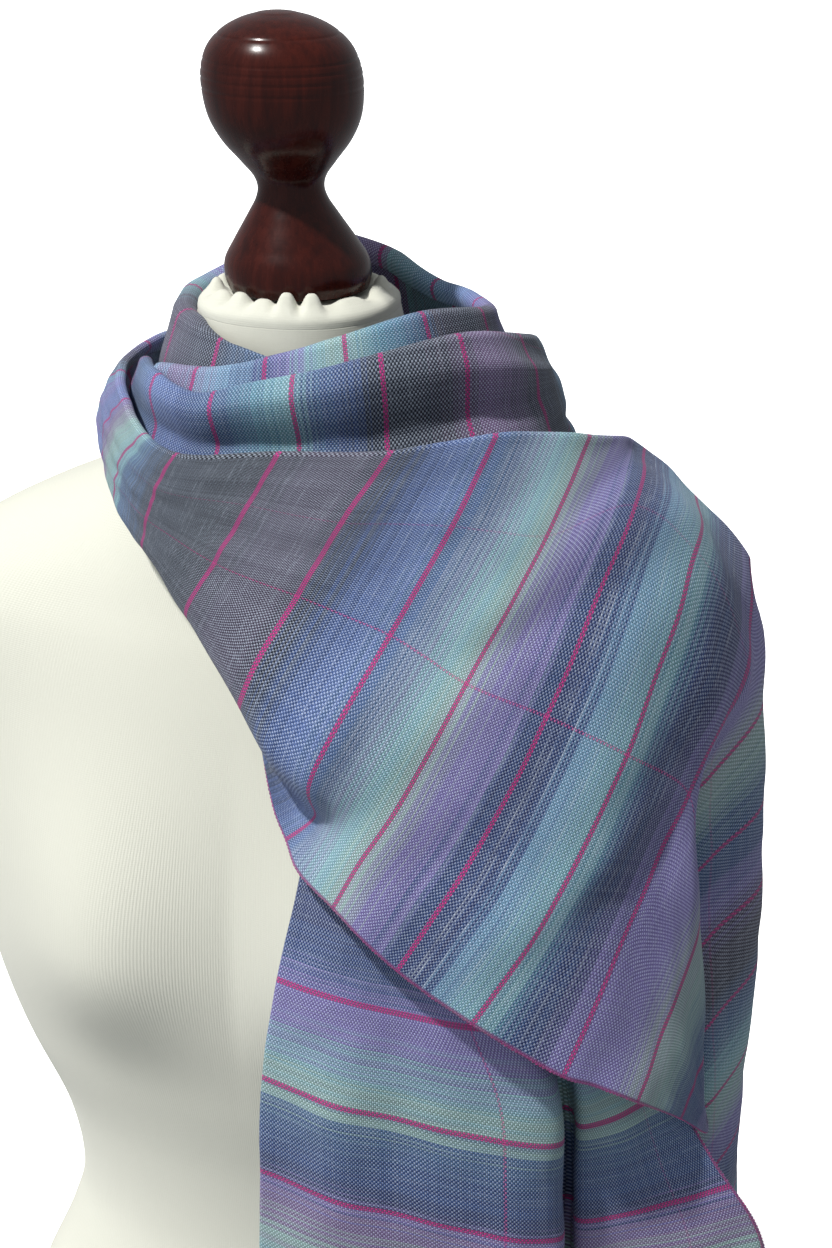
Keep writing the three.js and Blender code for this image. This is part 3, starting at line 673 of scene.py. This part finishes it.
def cloth_piece(name, grid, material):
    """A closed wall of cloth round the grid, thinner at its edges, with the cloth's plan as its UV maps."""
    rows, columns = grid.shape[:2]
    thin = np.full((rows, columns), CLOTH / 2)
    thin[[0, -1]] *= EDGE_THIN
    thin[:, [0, -1]] *= EDGE_THIN
    shift = normals_of(grid) * thin[..., None]
    places = np.concatenate([(grid[..., :3] + shift).reshape(-1, 3), (grid[..., :3] - shift).reshape(-1, 3)])
    front = np.arange(rows * columns).reshape(rows, columns)
    rear = front + rows * columns
    a, b, c, d = front[:-1, :-1], front[1:, :-1], front[1:, 1:], front[:-1, 1:]
    e, f, g, h = rear[:-1, :-1], rear[1:, :-1], rear[1:, 1:], rear[:-1, 1:]
    strips = [
        (a, b, c, d), (e, h, g, f),
        (front[:-1, 0], rear[:-1, 0], rear[1:, 0], front[1:, 0]),
        (front[:-1, -1], front[1:, -1], rear[1:, -1], rear[:-1, -1]),
        (front[0, :-1], front[0, 1:], rear[0, 1:], rear[0, :-1]),
        (front[-1, :-1], rear[-1, :-1], rear[-1, 1:], front[-1, 1:]),
    ]
    faces = np.concatenate([np.stack([corner.ravel() for corner in strip], axis=1) for strip in strips])
    piece = new_piece(name, places, faces.tolist(), material)
    corners = np.zeros(len(piece.data.loops), int)
    piece.data.loops.foreach_get("vertex_index", corners)
    for layer, picks in (("stripes", (3, 4)), ("threads", (5, 4))):
        plan = np.tile(grid[..., picks].reshape(-1, 2) * MM, (2, 1))
        uv = piece.data.uv_layers.new(name=layer)
        uv.data.foreach_set("uv", plan[corners].ravel())
    return piece


# ---------- selvedge loops, by Geometry Nodes ----------


def loop_tree():
    """Yarn loops along a line: one for each turn of the weft, uneven in size."""
    tree = bpy.data.node_groups.new("Selvedge loops", "GeometryNodeTree")
    face = tree.interface
    face.new_socket("Line", in_out="INPUT", socket_type="NodeSocketGeometry")
    for name, value in (("Pitch", LOOP_PITCH * MM), ("Long", LOOP_LONG * MM), ("Thick", LOOP_THICK * MM)):
        socket = face.new_socket(name, in_out="INPUT", socket_type="NodeSocketFloat")
        socket.default_value = value
    face.new_socket("Seed", in_out="INPUT", socket_type="NodeSocketInt")
    face.new_socket("Yarn", in_out="INPUT", socket_type="NodeSocketMaterial")
    face.new_socket("Loops", in_out="OUTPUT", socket_type="NodeSocketGeometry")
    node = tree.nodes.new
    given, out = node("NodeGroupInput"), node("NodeGroupOutput")
    curve, points = node("GeometryNodeMeshToCurve"), node("GeometryNodeCurveToPoints")
    points.mode = "LENGTH"
    bead = node("GeometryNodeMeshUVSphere")
    bead.inputs["Segments"].default_value = 8
    bead.inputs["Rings"].default_value = 5
    bead.inputs["Radius"].default_value = 0.5
    size, uneven = node("ShaderNodeCombineXYZ"), node("FunctionNodeRandomValue")
    uneven.data_type = "FLOAT"
    uneven.inputs[2].default_value = 0.8
    uneven.inputs[3].default_value = 1.2
    scaled = node("ShaderNodeVectorMath")
    scaled.operation = "SCALE"
    placed, real = node("GeometryNodeInstanceOnPoints"), node("GeometryNodeRealizeInstances")
    smooth, painted = node("GeometryNodeSetShadeSmooth"), node("GeometryNodeSetMaterial")
    for start, leaving, end, entering in (
        (given, "Line", curve, "Mesh"), (curve, "Curve", points, "Curve"), (given, "Pitch", points, "Length"),
        (given, "Thick", size, "X"), (given, "Thick", size, "Y"), (given, "Long", size, "Z"),
        (given, "Seed", uneven, "Seed"), (size, "Vector", scaled, 0), (uneven, 1, scaled, "Scale"),
        (points, "Points", placed, "Points"), (points, "Rotation", placed, "Rotation"),
        (bead, "Mesh", placed, "Instance"), (scaled, "Vector", placed, "Scale"),
        (placed, "Instances", real, "Geometry"), (real, "Geometry", smooth, "Geometry"),
        (smooth, "Geometry", painted, "Geometry"), (given, "Yarn", painted, "Material"),
        (painted, "Geometry", out, "Loops"),
    ):
        tree.links.new(start.outputs[leaving], end.inputs[entering])
    return tree


def selvedge_loops(name, line, tree, seed, yarn):
    """The loops along one selvedge, as a plain mesh."""
    mesh = bpy.data.meshes.new(name + "_line")
    mesh.from_pydata((line * MM).tolist(), [(i, i + 1) for i in range(len(line) - 1)], [])
    carrier = linked(name + "_line", mesh)
    modifier = carrier.modifiers.new("Selvedge loops", "NODES")
    modifier.node_group = tree
    sockets = {item.name: item.identifier for item in tree.interface.items_tree if item.in_out == "INPUT"}
    modifier[sockets["Seed"]] = seed
    modifier[sockets["Yarn"]] = yarn
    made = carrier.evaluated_get(bpy.context.evaluated_depsgraph_get())
    loops = linked(name, bpy.data.meshes.new_from_object(made))
    loops.data.name = name
    bpy.data.objects.remove(carrier)
    return loops


# ---------- materials ----------


def linear(colour):
    """An sRGB colour, 0 to 255, as Blender's linear one."""
    shares = [value / 255 for value in colour]
    return tuple(s / 12.92 if s <= 0.04045 else ((s + 0.055) / 1.055) ** 2.4 for s in shares) + (1.0,)


class Wiring:
    """Short calls for adding nodes to one tree."""

    def __init__(self, tree):
        self.tree = tree

    def feed(self, socket, value):
        if isinstance(value, bpy.types.NodeSocket):
            self.tree.links.new(value, socket)
        else:
            socket.default_value = value

    def node(self, kind, **inputs):
        made = self.tree.nodes.new(kind)
        for name, value in inputs.items():
            self.feed(made.inputs[name.replace("_", " ")], value)
        return made

    def math(self, operation, *values):
        made = self.tree.nodes.new("ShaderNodeMath")
        made.operation = operation
        for socket, value in zip(made.inputs, values):
            self.feed(socket, value)
        return made.outputs[0]

    def mix(self, share, a, b, blend="MIX"):
        made = self.tree.nodes.new("ShaderNodeMix")
        made.data_type = "RGBA"
        made.blend_type = blend
        self.feed(made.inputs[0], share)
        self.feed(made.inputs[6], a)
        self.feed(made.inputs[7], b)
        return made.outputs[2]

    def shaded(self, colour, value):
        """The colour times a value."""
        return self.mix(1.0, colour, self.combine(value, value, value), "MULTIPLY")

    def noise(self, vector, scale, detail=2.0, rough=0.5):
        made = self.node("ShaderNodeTexNoise", Vector=vector, Scale=scale, Detail=detail, Roughness=rough)
        return made.outputs["Fac"]

    def random(self, value, seed):
        """A fixed random number for each whole value."""
        made = self.tree.nodes.new("ShaderNodeTexWhiteNoise")
        made.noise_dimensions = "2D"
        pair = self.tree.nodes.new("ShaderNodeCombineXYZ")
        self.feed(pair.inputs[0], value)
        pair.inputs[1].default_value = seed
        self.tree.links.new(pair.outputs[0], made.inputs["Vector"])
        return made.outputs["Value"]

    def combine(self, x, y, z=0.0):
        made = self.tree.nodes.new("ShaderNodeCombineXYZ")
        for socket, value in zip(made.inputs, (x, y, z)):
            self.feed(socket, value)
        return made.outputs[0]

    def split(self, vector):
        return self.node("ShaderNodeSeparateXYZ", Vector=vector).outputs


def shader_group(name, inputs, outputs):
    """A new shader node group with its sockets, and its wiring, input and output nodes."""
    tree = bpy.data.node_groups.new(name, "ShaderNodeTree")
    for label, kind, value in inputs:
        socket = tree.interface.new_socket(label, in_out="INPUT", socket_type="NodeSocket" + kind)
        if value is not None:
            socket.default_value = value
    for label, kind in outputs:
        tree.interface.new_socket(label, in_out="OUTPUT", socket_type="NodeSocket" + kind)
    given = tree.nodes.new("NodeGroupInput").outputs
    out = tree.nodes.new("NodeGroupOutput").inputs
    return tree, Wiring(tree), given, out


def thread_group():
    """Plain weave: which thread lies on top, how high it stands, and which pick and end it is."""
    tree, wire, given, out = shader_group(
        "Plain weave",
        [("Threads", "Vector", None), ("Pick", "Float", PICK * MM), ("End", "Float", END * MM)],
        [("Weft On Top", "Float"), ("Height", "Float"), ("Pick Count", "Float"), ("End Count", "Float")],
    )
    along, across, _ = wire.split(given["Threads"])
    wander = wire.noise(given["Threads"], 55.0, 1.0)
    along = wire.math("MULTIPLY_ADD", wander, THREAD_WANDER, along)
    picks = wire.math("DIVIDE", along, given["Pick"])
    ends = wire.math("DIVIDE", across, given["End"])
    pick, end = wire.math("FLOOR", picks), wire.math("FLOOR", ends)
    weft_on_top = wire.math("FLOORED_MODULO", wire.math("ADD", pick, end), 2.0)
    crown = []
    for value, count in ((picks, pick), (ends, end)):
        off = wire.math("SUBTRACT", wire.math("SUBTRACT", value, count), 0.5)
        crown.append(wire.math("COSINE", wire.math("MULTIPLY", off, math.pi)))
    round_weft = wire.math("MULTIPLY", wire.math("POWER", crown[0], 0.6), wire.math("POWER", crown[1], 0.35))
    round_warp = wire.math("MULTIPLY", wire.math("POWER", crown[1], 0.6), wire.math("POWER", crown[0], 0.35))
    gap = wire.math("SUBTRACT", round_weft, round_warp)
    wire.feed(out["Height"], wire.math("MULTIPLY_ADD", weft_on_top, gap, round_warp))
    wire.feed(out["Weft On Top"], weft_on_top)
    wire.feed(out["Pick Count"], pick)
    wire.feed(out["End Count"], end)
    return tree


def stripe_group():
    """Masks of the pink yarn: stripes in the weft, two faint lines in the warp, and the selvedges."""
    tree, wire, given, out = shader_group(
        "Pink yarn",
        [("Plan", "Vector", None), ("End", "Float", END * MM),
         ("Line A", "Float", 0.11), ("Line B", "Float", 0.22),
         ("Strength A", "Float", 1.0), ("Strength B", "Float", 0.5)],
        [("Stripe", "Float"), ("Line", "Float"), ("Selvedge", "Float")],
    )
    along, across, _ = wire.split(given["Plan"])
    steps = wire.math("DIVIDE", along, STRIPE_STEP * MM)
    off = wire.math("ABSOLUTE", wire.math("SUBTRACT", steps, wire.math("ROUND", steps)))
    half = STRIPE_WIDTH / 2 / STRIPE_STEP
    wire.feed(out["Stripe"], wire.math("LESS_THAN", off, half))
    lines = []
    for letter in "AB":
        aside = wire.math("ABSOLUTE", wire.math("SUBTRACT", across, given["Line " + letter]))
        near = wire.math("LESS_THAN", aside, wire.math("MULTIPLY", given["End"], 0.75))
        lines.append(wire.math("MULTIPLY", near, given["Strength " + letter]))
    wire.feed(out["Line"], wire.math("MAXIMUM", *lines))
    low = wire.math("LESS_THAN", across, SELVEDGE * MM)
    high = wire.math("GREATER_THAN", across, (WIDTH - SELVEDGE) * MM)
    wire.feed(out["Selvedge"], wire.math("MAXIMUM", low, high))
    return tree


def dye_group():
    """Where along the dyed yarn each pick was wound: the plan's distance, shifted pick by pick."""
    tree, wire, given, out = shader_group(
        "Space dyeing",
        [("Plan", "Vector", None), ("Pick Count", "Float", 0.0), ("Shift", "Float", 0.012),
         ("Drift", "Float", 0.016)],
        [("Place", "Float"), ("Tone", "Float"), ("Pale Pick", "Float")],
    )
    along, across, _ = wire.split(given["Plan"])
    jump = wire.math("SUBTRACT", wire.random(given["Pick Count"], 3.0), 0.5)
    slow = wire.noise(wire.combine(wire.math("MULTIPLY", along, 30.0),
                                   wire.math("MULTIPLY", across, 5.0)), 1.0)
    own = wire.noise(wire.combine(wire.math("MULTIPLY", given["Pick Count"], 7.7),
                                  wire.math("MULTIPLY", across, 16.0)), 1.0, 1.0)
    place = wire.math("MULTIPLY_ADD", jump, given["Shift"], along)
    place = wire.math("MULTIPLY_ADD", wire.math("SUBTRACT", own, 0.5), given["Shift"], place)
    place = wire.math("MULTIPLY_ADD", wire.math("SUBTRACT", slow, 0.5), given["Drift"], place)
    wire.feed(out["Place"], place)
    tone = wire.math("MULTIPLY_ADD", wire.random(given["Pick Count"], 11.0), 0.28, 0.86)
    wire.feed(out["Tone"], tone)
    rare = wire.math("GREATER_THAN", wire.random(given["Pick Count"], 23.0), PALE_PICK_FROM)
    slubs = wire.noise(wire.combine(wire.math("MULTIPLY", given["Pick Count"], 5.3),
                                    wire.math("MULTIPLY", across, 70.0)), 1.0, 2.0)
    broken = wire.math("MULTIPLY_ADD", slubs, 4.0, -1.6)
    broken.node.use_clamp = True
    wire.feed(out["Pale Pick"], wire.math("MULTIPLY", rare, broken))
    return tree


def cloth_colour_group():
    """The colour seen at each crossing, from the weft's dye, the pale warp and the pink yarn, with painted
    shade where the threads sink between crossings.
    """
    tree, wire, given, out = shader_group(
        "Cloth colour and weave shade",
        [("Dye", "Color", None), ("Tone", "Float", 1.0), ("Pale Pick", "Float", 0.0),
         ("Streaks", "Float", 0.1), ("Weft On Top", "Float", 0.0), ("Height", "Float", 0.0),
         ("End Count", "Float", 0.0), ("Stripe", "Float", 0.0), ("Line", "Float", 0.0),
         ("Selvedge", "Float", 0.0)],
        [("Colour", "Color")],
    )
    weft = wire.shaded(given["Dye"], wire.math("MULTIPLY", given["Tone"], WEFT_DEPTH))
    streak = wire.math("MULTIPLY", given["Pale Pick"], given["Streaks"])
    weft = wire.mix(wire.math("MULTIPLY", streak, 0.5), weft, linear(PALE_WARP))
    weft = wire.mix(wire.math("MULTIPLY", given["Stripe"], PINK_ON_WEFT), weft, linear(PINK))
    own = wire.math("MULTIPLY_ADD", wire.random(given["End Count"], 5.0), WARP_VARIES, WARP_PALENESS)
    own = wire.math("MULTIPLY_ADD", streak, 0.4, own)
    warp = wire.mix(own, given["Dye"], linear(PALE_WARP))
    warp = wire.mix(wire.math("MULTIPLY", given["Stripe"], PINK_ON_WARP), warp, linear(DEEP_PINK))
    warp = wire.mix(given["Line"], warp, linear(PINK))
    cloth = wire.mix(given["Weft On Top"], warp, weft)
    edge = wire.mix(wire.random(given["End Count"], 7.0), linear(SELVEDGE_MAUVE), linear(PINK))
    cloth = wire.mix(wire.math("MULTIPLY", given["Selvedge"], 0.7), cloth, edge)
    # painted shade: each thread's colour darkens towards its edges, where it sinks below the crossings
    wire.feed(out["Colour"], wire.shaded(cloth, wire.math("MULTIPLY_ADD", given["Height"], 0.66, 0.38)))
    return tree


def placed_group(wire, tree, **inputs):
    made = wire.tree.nodes.new("ShaderNodeGroup")
    made.node_tree = tree
    for name, value in inputs.items():
        wire.feed(made.inputs[name.replace("_", " ")], value)
    return made.outputs


def new_material(name):
    """A material with its wiring and its Principled shader."""
    material = bpy.data.materials.new(name)
    material.use_nodes = True
    shader = material.node_tree.nodes["Principled BSDF"]
    return material, Wiring(material.node_tree), shader


def bumped(wire, shader, height, distance, strength=1.0):
    bump = wire.node("ShaderNodeBump", Height=height, Distance=distance, Strength=strength)
    wire.feed(shader.inputs["Normal"], bump.outputs["Normal"])


def set_finish(shader, **values):
    """What is the same all over a surface, on the shader's own sockets."""
    for name, value in values.items():
        shader.inputs[name.replace("_", " ")].default_value = value


def dyed_ramp(wire, place, lengths, ahead=0):
    """The dyes along one stretch as a colour ramp over its own length, with the streaks as alpha."""
    marks = [(count - ahead) * STRIPE_STEP * MM for count, *_ in lengths]
    first, last = marks[0], marks[-1]
    share = wire.math("DIVIDE", wire.math("SUBTRACT", place, first), last - first)
    ramp = wire.node("ShaderNodeValToRGB", Fac=share)
    stops = ramp.color_ramp.elements
    while len(stops) < len(lengths):
        stops.new(1.0)
    for stop, mark, (_, dye, *streaks) in zip(stops, marks, lengths):
        stop.position = (mark - first) / (last - first)
        stop.color = linear(DYES[dye])[:3] + ((streaks or [DYE_STREAKS])[0],)
    return ramp.outputs["Color"], ramp.outputs["Alpha"], first


def dyed_cloth(wire, place, stretches):
    """The dyes and streaks of stretches that follow each other along one cloth."""
    colour, streaks = None, None
    for name in stretches:
        ahead = BAND_AHEAD if name == "neck_band" else 0
        own_colour, own_streaks, first = dyed_ramp(wire, place, DYED_LENGTHS[name], ahead)
        if colour is None:
            colour, streaks = own_colour, own_streaks
            continue
        past = wire.math("GREATER_THAN", place, first)
        colour = wire.mix(past, colour, own_colour)
        streaks = wire.math("MULTIPLY_ADD", past, wire.math("SUBTRACT", own_streaks, streaks), streaks)
    return colour, streaks


def woven_cloth(name, groups, stretches):
    material, wire, shader = new_material("woven_" + name)
    plan = wire.node("ShaderNodeUVMap").outputs["UV"]
    plan.node.uv_map = "stripes"
    thread = wire.node("ShaderNodeUVMap").outputs["UV"]
    thread.node.uv_map = "threads"
    weave = placed_group(wire, groups["weave"], Threads=thread)
    line_a, line_b = WARP_LINES[name]
    pink = placed_group(wire, groups["pink"], Plan=plan, Line_A=line_a.across * MM, Line_B=line_b.across * MM,
                        Strength_A=line_a.strength, Strength_B=line_b.strength)
    dyed = placed_group(wire, groups["dyeing"], Plan=plan, Pick_Count=weave["Pick Count"])
    dye, streaks = dyed_cloth(wire, dyed["Place"], stretches)
    seen = placed_group(wire, groups["colour"], Dye=dye, Tone=dyed["Tone"], Pale_Pick=dyed["Pale Pick"],
                        Streaks=streaks, Weft_On_Top=weave["Weft On Top"], Height=weave["Height"],
                        End_Count=weave["End Count"], Stripe=pink["Stripe"], Line=pink["Line"],
                        Selvedge=pink["Selvedge"])
    wire.feed(shader.inputs["Base Color"], seen["Colour"])
    fibre = wire.noise(thread, 2600.0, 2.0)
    wire.feed(shader.inputs["Roughness"], wire.math("MULTIPLY_ADD", fibre, 0.2, 0.58))
    height = wire.math("MULTIPLY_ADD", fibre, 0.25, weave["Height"])
    bumped(wire, shader, height, 0.00025, 0.8)
    set_finish(shader, Specular_IOR_Level=0.3, Sheen_Weight=0.12, Sheen_Roughness=0.45,
               Sheen_Tint=(0.85, 0.88, 1.0, 1.0))
    return material


def pink_yarn():
    material, wire, shader = new_material("pink_yarn")
    place = wire.node("ShaderNodeTexCoord").outputs["Object"]
    fibre = wire.noise(place, 1800.0, 3.0)
    turns = wire.math("MULTIPLY_ADD", wire.noise(place, 150.0, 2.0), 4.0, -1.5)
    turns.node.use_clamp = True
    colour = wire.mix(turns, linear(SELVEDGE_MAUVE), linear(PINK))
    deep = wire.math("MULTIPLY_ADD", fibre, 0.8, 0.4)
    wire.feed(shader.inputs["Base Color"], wire.shaded(colour, deep))
    wire.feed(shader.inputs["Roughness"], wire.math("MULTIPLY_ADD", fibre, 0.2, 0.6))
    bumped(wire, shader, fibre, 0.0002, 0.6)
    set_finish(shader, Sheen_Weight=0.2)
    return material


def cream_jersey():
    """Fine knitted jersey: upright wales, a little fuzz, faint unevenness of colour, and faint painted shade
    in the knit's grooves.
    """
    material, wire, shader = new_material("cream_jersey")
    place = wire.node("ShaderNodeTexCoord").outputs["Object"]
    x, y, z = wire.split(place)
    turn = wire.math("ARCTAN2", x, y)
    wales = wire.math("SINE", wire.math("MULTIPLY", turn, JERSEY_WALES))
    courses = wire.math("SINE", wire.math("MULTIPLY", z, JERSEY_COURSES))
    knit = wire.math("MULTIPLY_ADD", courses, 0.35, wales)
    fuzz = wire.noise(place, 1400.0, 3.0)
    broad = wire.noise(place, 9.0, 2.0)
    shade = wire.math("MULTIPLY_ADD", broad, 0.5, wire.math("MULTIPLY", fuzz, 0.5))
    colour = wire.mix(shade, linear((202, 203, 190)), linear((214, 214, 202)))
    # painted shade: the colour darkens a little in the grooves between the knit's wales and courses
    grain = wire.math("MULTIPLY_ADD", knit, 0.012, 0.98)
    wire.feed(shader.inputs["Base Color"], wire.shaded(colour, grain))
    wire.feed(shader.inputs["Roughness"], wire.math("MULTIPLY_ADD", fuzz, 0.12, 0.84))
    bumped(wire, shader, wire.math("MULTIPLY_ADD", fuzz, 1.2, knit), 0.00012, 0.35)
    set_finish(shader, Specular_IOR_Level=0.25, Sheen_Weight=0.15, Sheen_Roughness=0.6)
    return material


def mahogany():
    """Dark varnished mahogany: long upright grain, redder where the stain is thin."""
    material, wire, shader = new_material("mahogany")
    place = wire.node("ShaderNodeTexCoord").outputs["Object"]
    x, y, z = wire.split(place)
    stretched = wire.combine(x, y, wire.math("MULTIPLY", z, 0.12))
    grain = wire.noise(stretched, 260.0, 5.0, 0.6)
    broad = wire.noise(stretched, 34.0, 2.0)
    stain = wire.math("MULTIPLY", grain, broad)
    colour = wire.mix(wire.math("MULTIPLY", stain, 1.5), linear((9, 4, 6)), linear((82, 26, 14)))
    wire.feed(shader.inputs["Base Color"], colour)
    wire.feed(shader.inputs["Roughness"], wire.math("MULTIPLY_ADD", grain, 0.14, 0.2))
    scratches = wire.noise(wire.combine(0.0, 0.0, z), 1900.0, 2.0)
    bumped(wire, shader, wire.math("MULTIPLY_ADD", grain, 0.5, scratches), 0.00008, 0.35)
    set_finish(shader, Specular_IOR_Level=0.12, Coat_Weight=0.3, Coat_Roughness=0.19)
    return material


def pale_floor():
    material, wire, shader = new_material("pale_floor")
    place = wire.node("ShaderNodeTexCoord").outputs["Object"]
    mottle = wire.noise(place, 3.0)
    paper = wire.mix(mottle, linear((243, 243, 243)), linear((249, 249, 249)))
    wire.feed(shader.inputs["Base Color"], paper)
    set_finish(shader, Roughness=0.9, Emission_Color=(1.0, 1.0, 1.0, 1.0), Emission_Strength=FLOOR_GLOW)
    return material


# ---------- the room ----------
VIEW_TURN = math.radians(18)
VIEW_PITCH = math.radians(21.6)
VIEW_AWAY = 1.09        # metres, level, from the form's axis
VIEW_ASIDE = 0.055
VIEW_HEIGHT = 0.963
FILM_HIGH = 36.0        # mm
FOCAL = 67.8            # mm
FLOOR_HALF = 30.0
FLOOR_GLOW = 0.8        # keeps the paper floor white in the form's shadow
KEY_FROM = (-0.3, -0.38, 0.88)      # high in front of the form's right shoulder
KEY_POWER = 3.9
KEY_SOFTNESS = 3                    # degrees that the key light spans
FILL_FROM = (-0.62, -0.78, 0.08)    # low, from in front and the form's right
FILL_POWER = 1.0
FILL_SOFTNESS = 60
ROOM_POWER = 0.36


def camera():
    data = bpy.data.cameras.new("camera")
    data.sensor_fit = "VERTICAL"
    data.sensor_height = FILM_HIGH
    data.lens = FOCAL
    eye = linked("camera", data)
    right = (math.cos(VIEW_TURN), math.sin(VIEW_TURN))
    back = (math.sin(VIEW_TURN), -math.cos(VIEW_TURN))
    eye.location = (VIEW_AWAY * back[0] + VIEW_ASIDE * right[0],
                    VIEW_AWAY * back[1] + VIEW_ASIDE * right[1], VIEW_HEIGHT)
    eye.rotation_euler = (math.pi / 2 - VIEW_PITCH, 0, VIEW_TURN)
    bpy.context.scene.camera = eye


def soft_light(name, toward, power, softness, colour, mirrored=True):
    """A broad light from a direction, as soft as the degrees that it spans."""
    data = bpy.data.lights.new(name, "SUN")
    data.energy = power
    data.angle = math.radians(softness)
    data.color = colour
    lamp = linked(name, data)
    x, y, z = toward
    lamp.rotation_euler = (math.atan2(math.hypot(x, y), z), 0, math.atan2(x, -y))
    lamp.visible_glossy = mirrored


def studio():
    world = bpy.data.worlds.new("studio")
    world.use_nodes = True
    room = world.node_tree.nodes["Background"].inputs
    room["Color"].default_value = (0.93, 0.96, 1.0, 1.0)
    room["Strength"].default_value = ROOM_POWER
    bpy.context.scene.world = world
    bpy.context.scene.view_settings.view_transform = "Standard"
    soft_light("key", KEY_FROM, KEY_POWER, KEY_SOFTNESS, (1.0, 0.985, 0.955))
    soft_light("fill", FILL_FROM, FILL_POWER, FILL_SOFTNESS, (0.96, 0.98, 1.0), mirrored=False)
    half = FLOOR_HALF / MM
    corners = [(-half, -half, 0), (half, -half, 0), (half, half, 0), (-half, half, 0)]
    floor = new_piece("floor", np.array(corners), [(0, 1, 2, 3)], pale_floor())
    floor.visible_diffuse = False
    floor.visible_glossy = False


# ---------- making ----------
camera()
studio()

jersey = cream_jersey()
for piece, node, slot in (
    (form_body(jersey), "torso", "jersey"),
    (gathered_cap(jersey), "neck_cap", "jersey"),
    (turned_finial(mahogany()), "finial", "mahogany"),
):
    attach(piece, "root")
    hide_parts(node)

groups = {
    "weave": thread_group(), "pink": stripe_group(), "dyeing": dye_group(), "colour": cloth_colour_group(),
}
loops_tree = loop_tree()
yarn = pink_yarn()

# What each piece of the scarf is made of: its shape, the nodes it stands for, the flat cut of what
# shows (width, length and area in metres), and how it is held.
Stretch = namedtuple("Stretch", "shape nodes width length area held")
WRAP_NODES = ("neck_band", "front_panel", "shoulder_drape")
STRETCHES = {
    "inner_turn": Stretch(inner_turn, ("inner_turn",), 0.07, 0.59, 0.032, "draped"),
    "wrap": Stretch(wrap, WRAP_NODES, 0.33, 1.39, 0.25, "draped"),
    "front_tail": Stretch(front_tail, ("front_tail",), 0.33, 0.53, 0.125, "hung"),
}
# The selvedges that show: the piece, its edge, and from which share of its length.
SELVEDGES = {"wrap": (0, 0.3), "front_tail": (-1, 0.0)}
for seed, (name, stretch) in enumerate(STRETCHES.items()):
    grid = stretch.shape()
    piece = cloth_piece("scarf_" + name, grid, woven_cloth(name, groups, stretch.nodes))
    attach(piece, "root")
    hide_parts(*stretch.nodes)
    if name in SELVEDGES:
        edge, start = SELVEDGES[name]
        line = grid[round(start * len(grid)):, edge, :3]
        loops = selvedge_loops("selvedge_" + name, line, loops_tree, seed, yarn)
        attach(loops, "root")
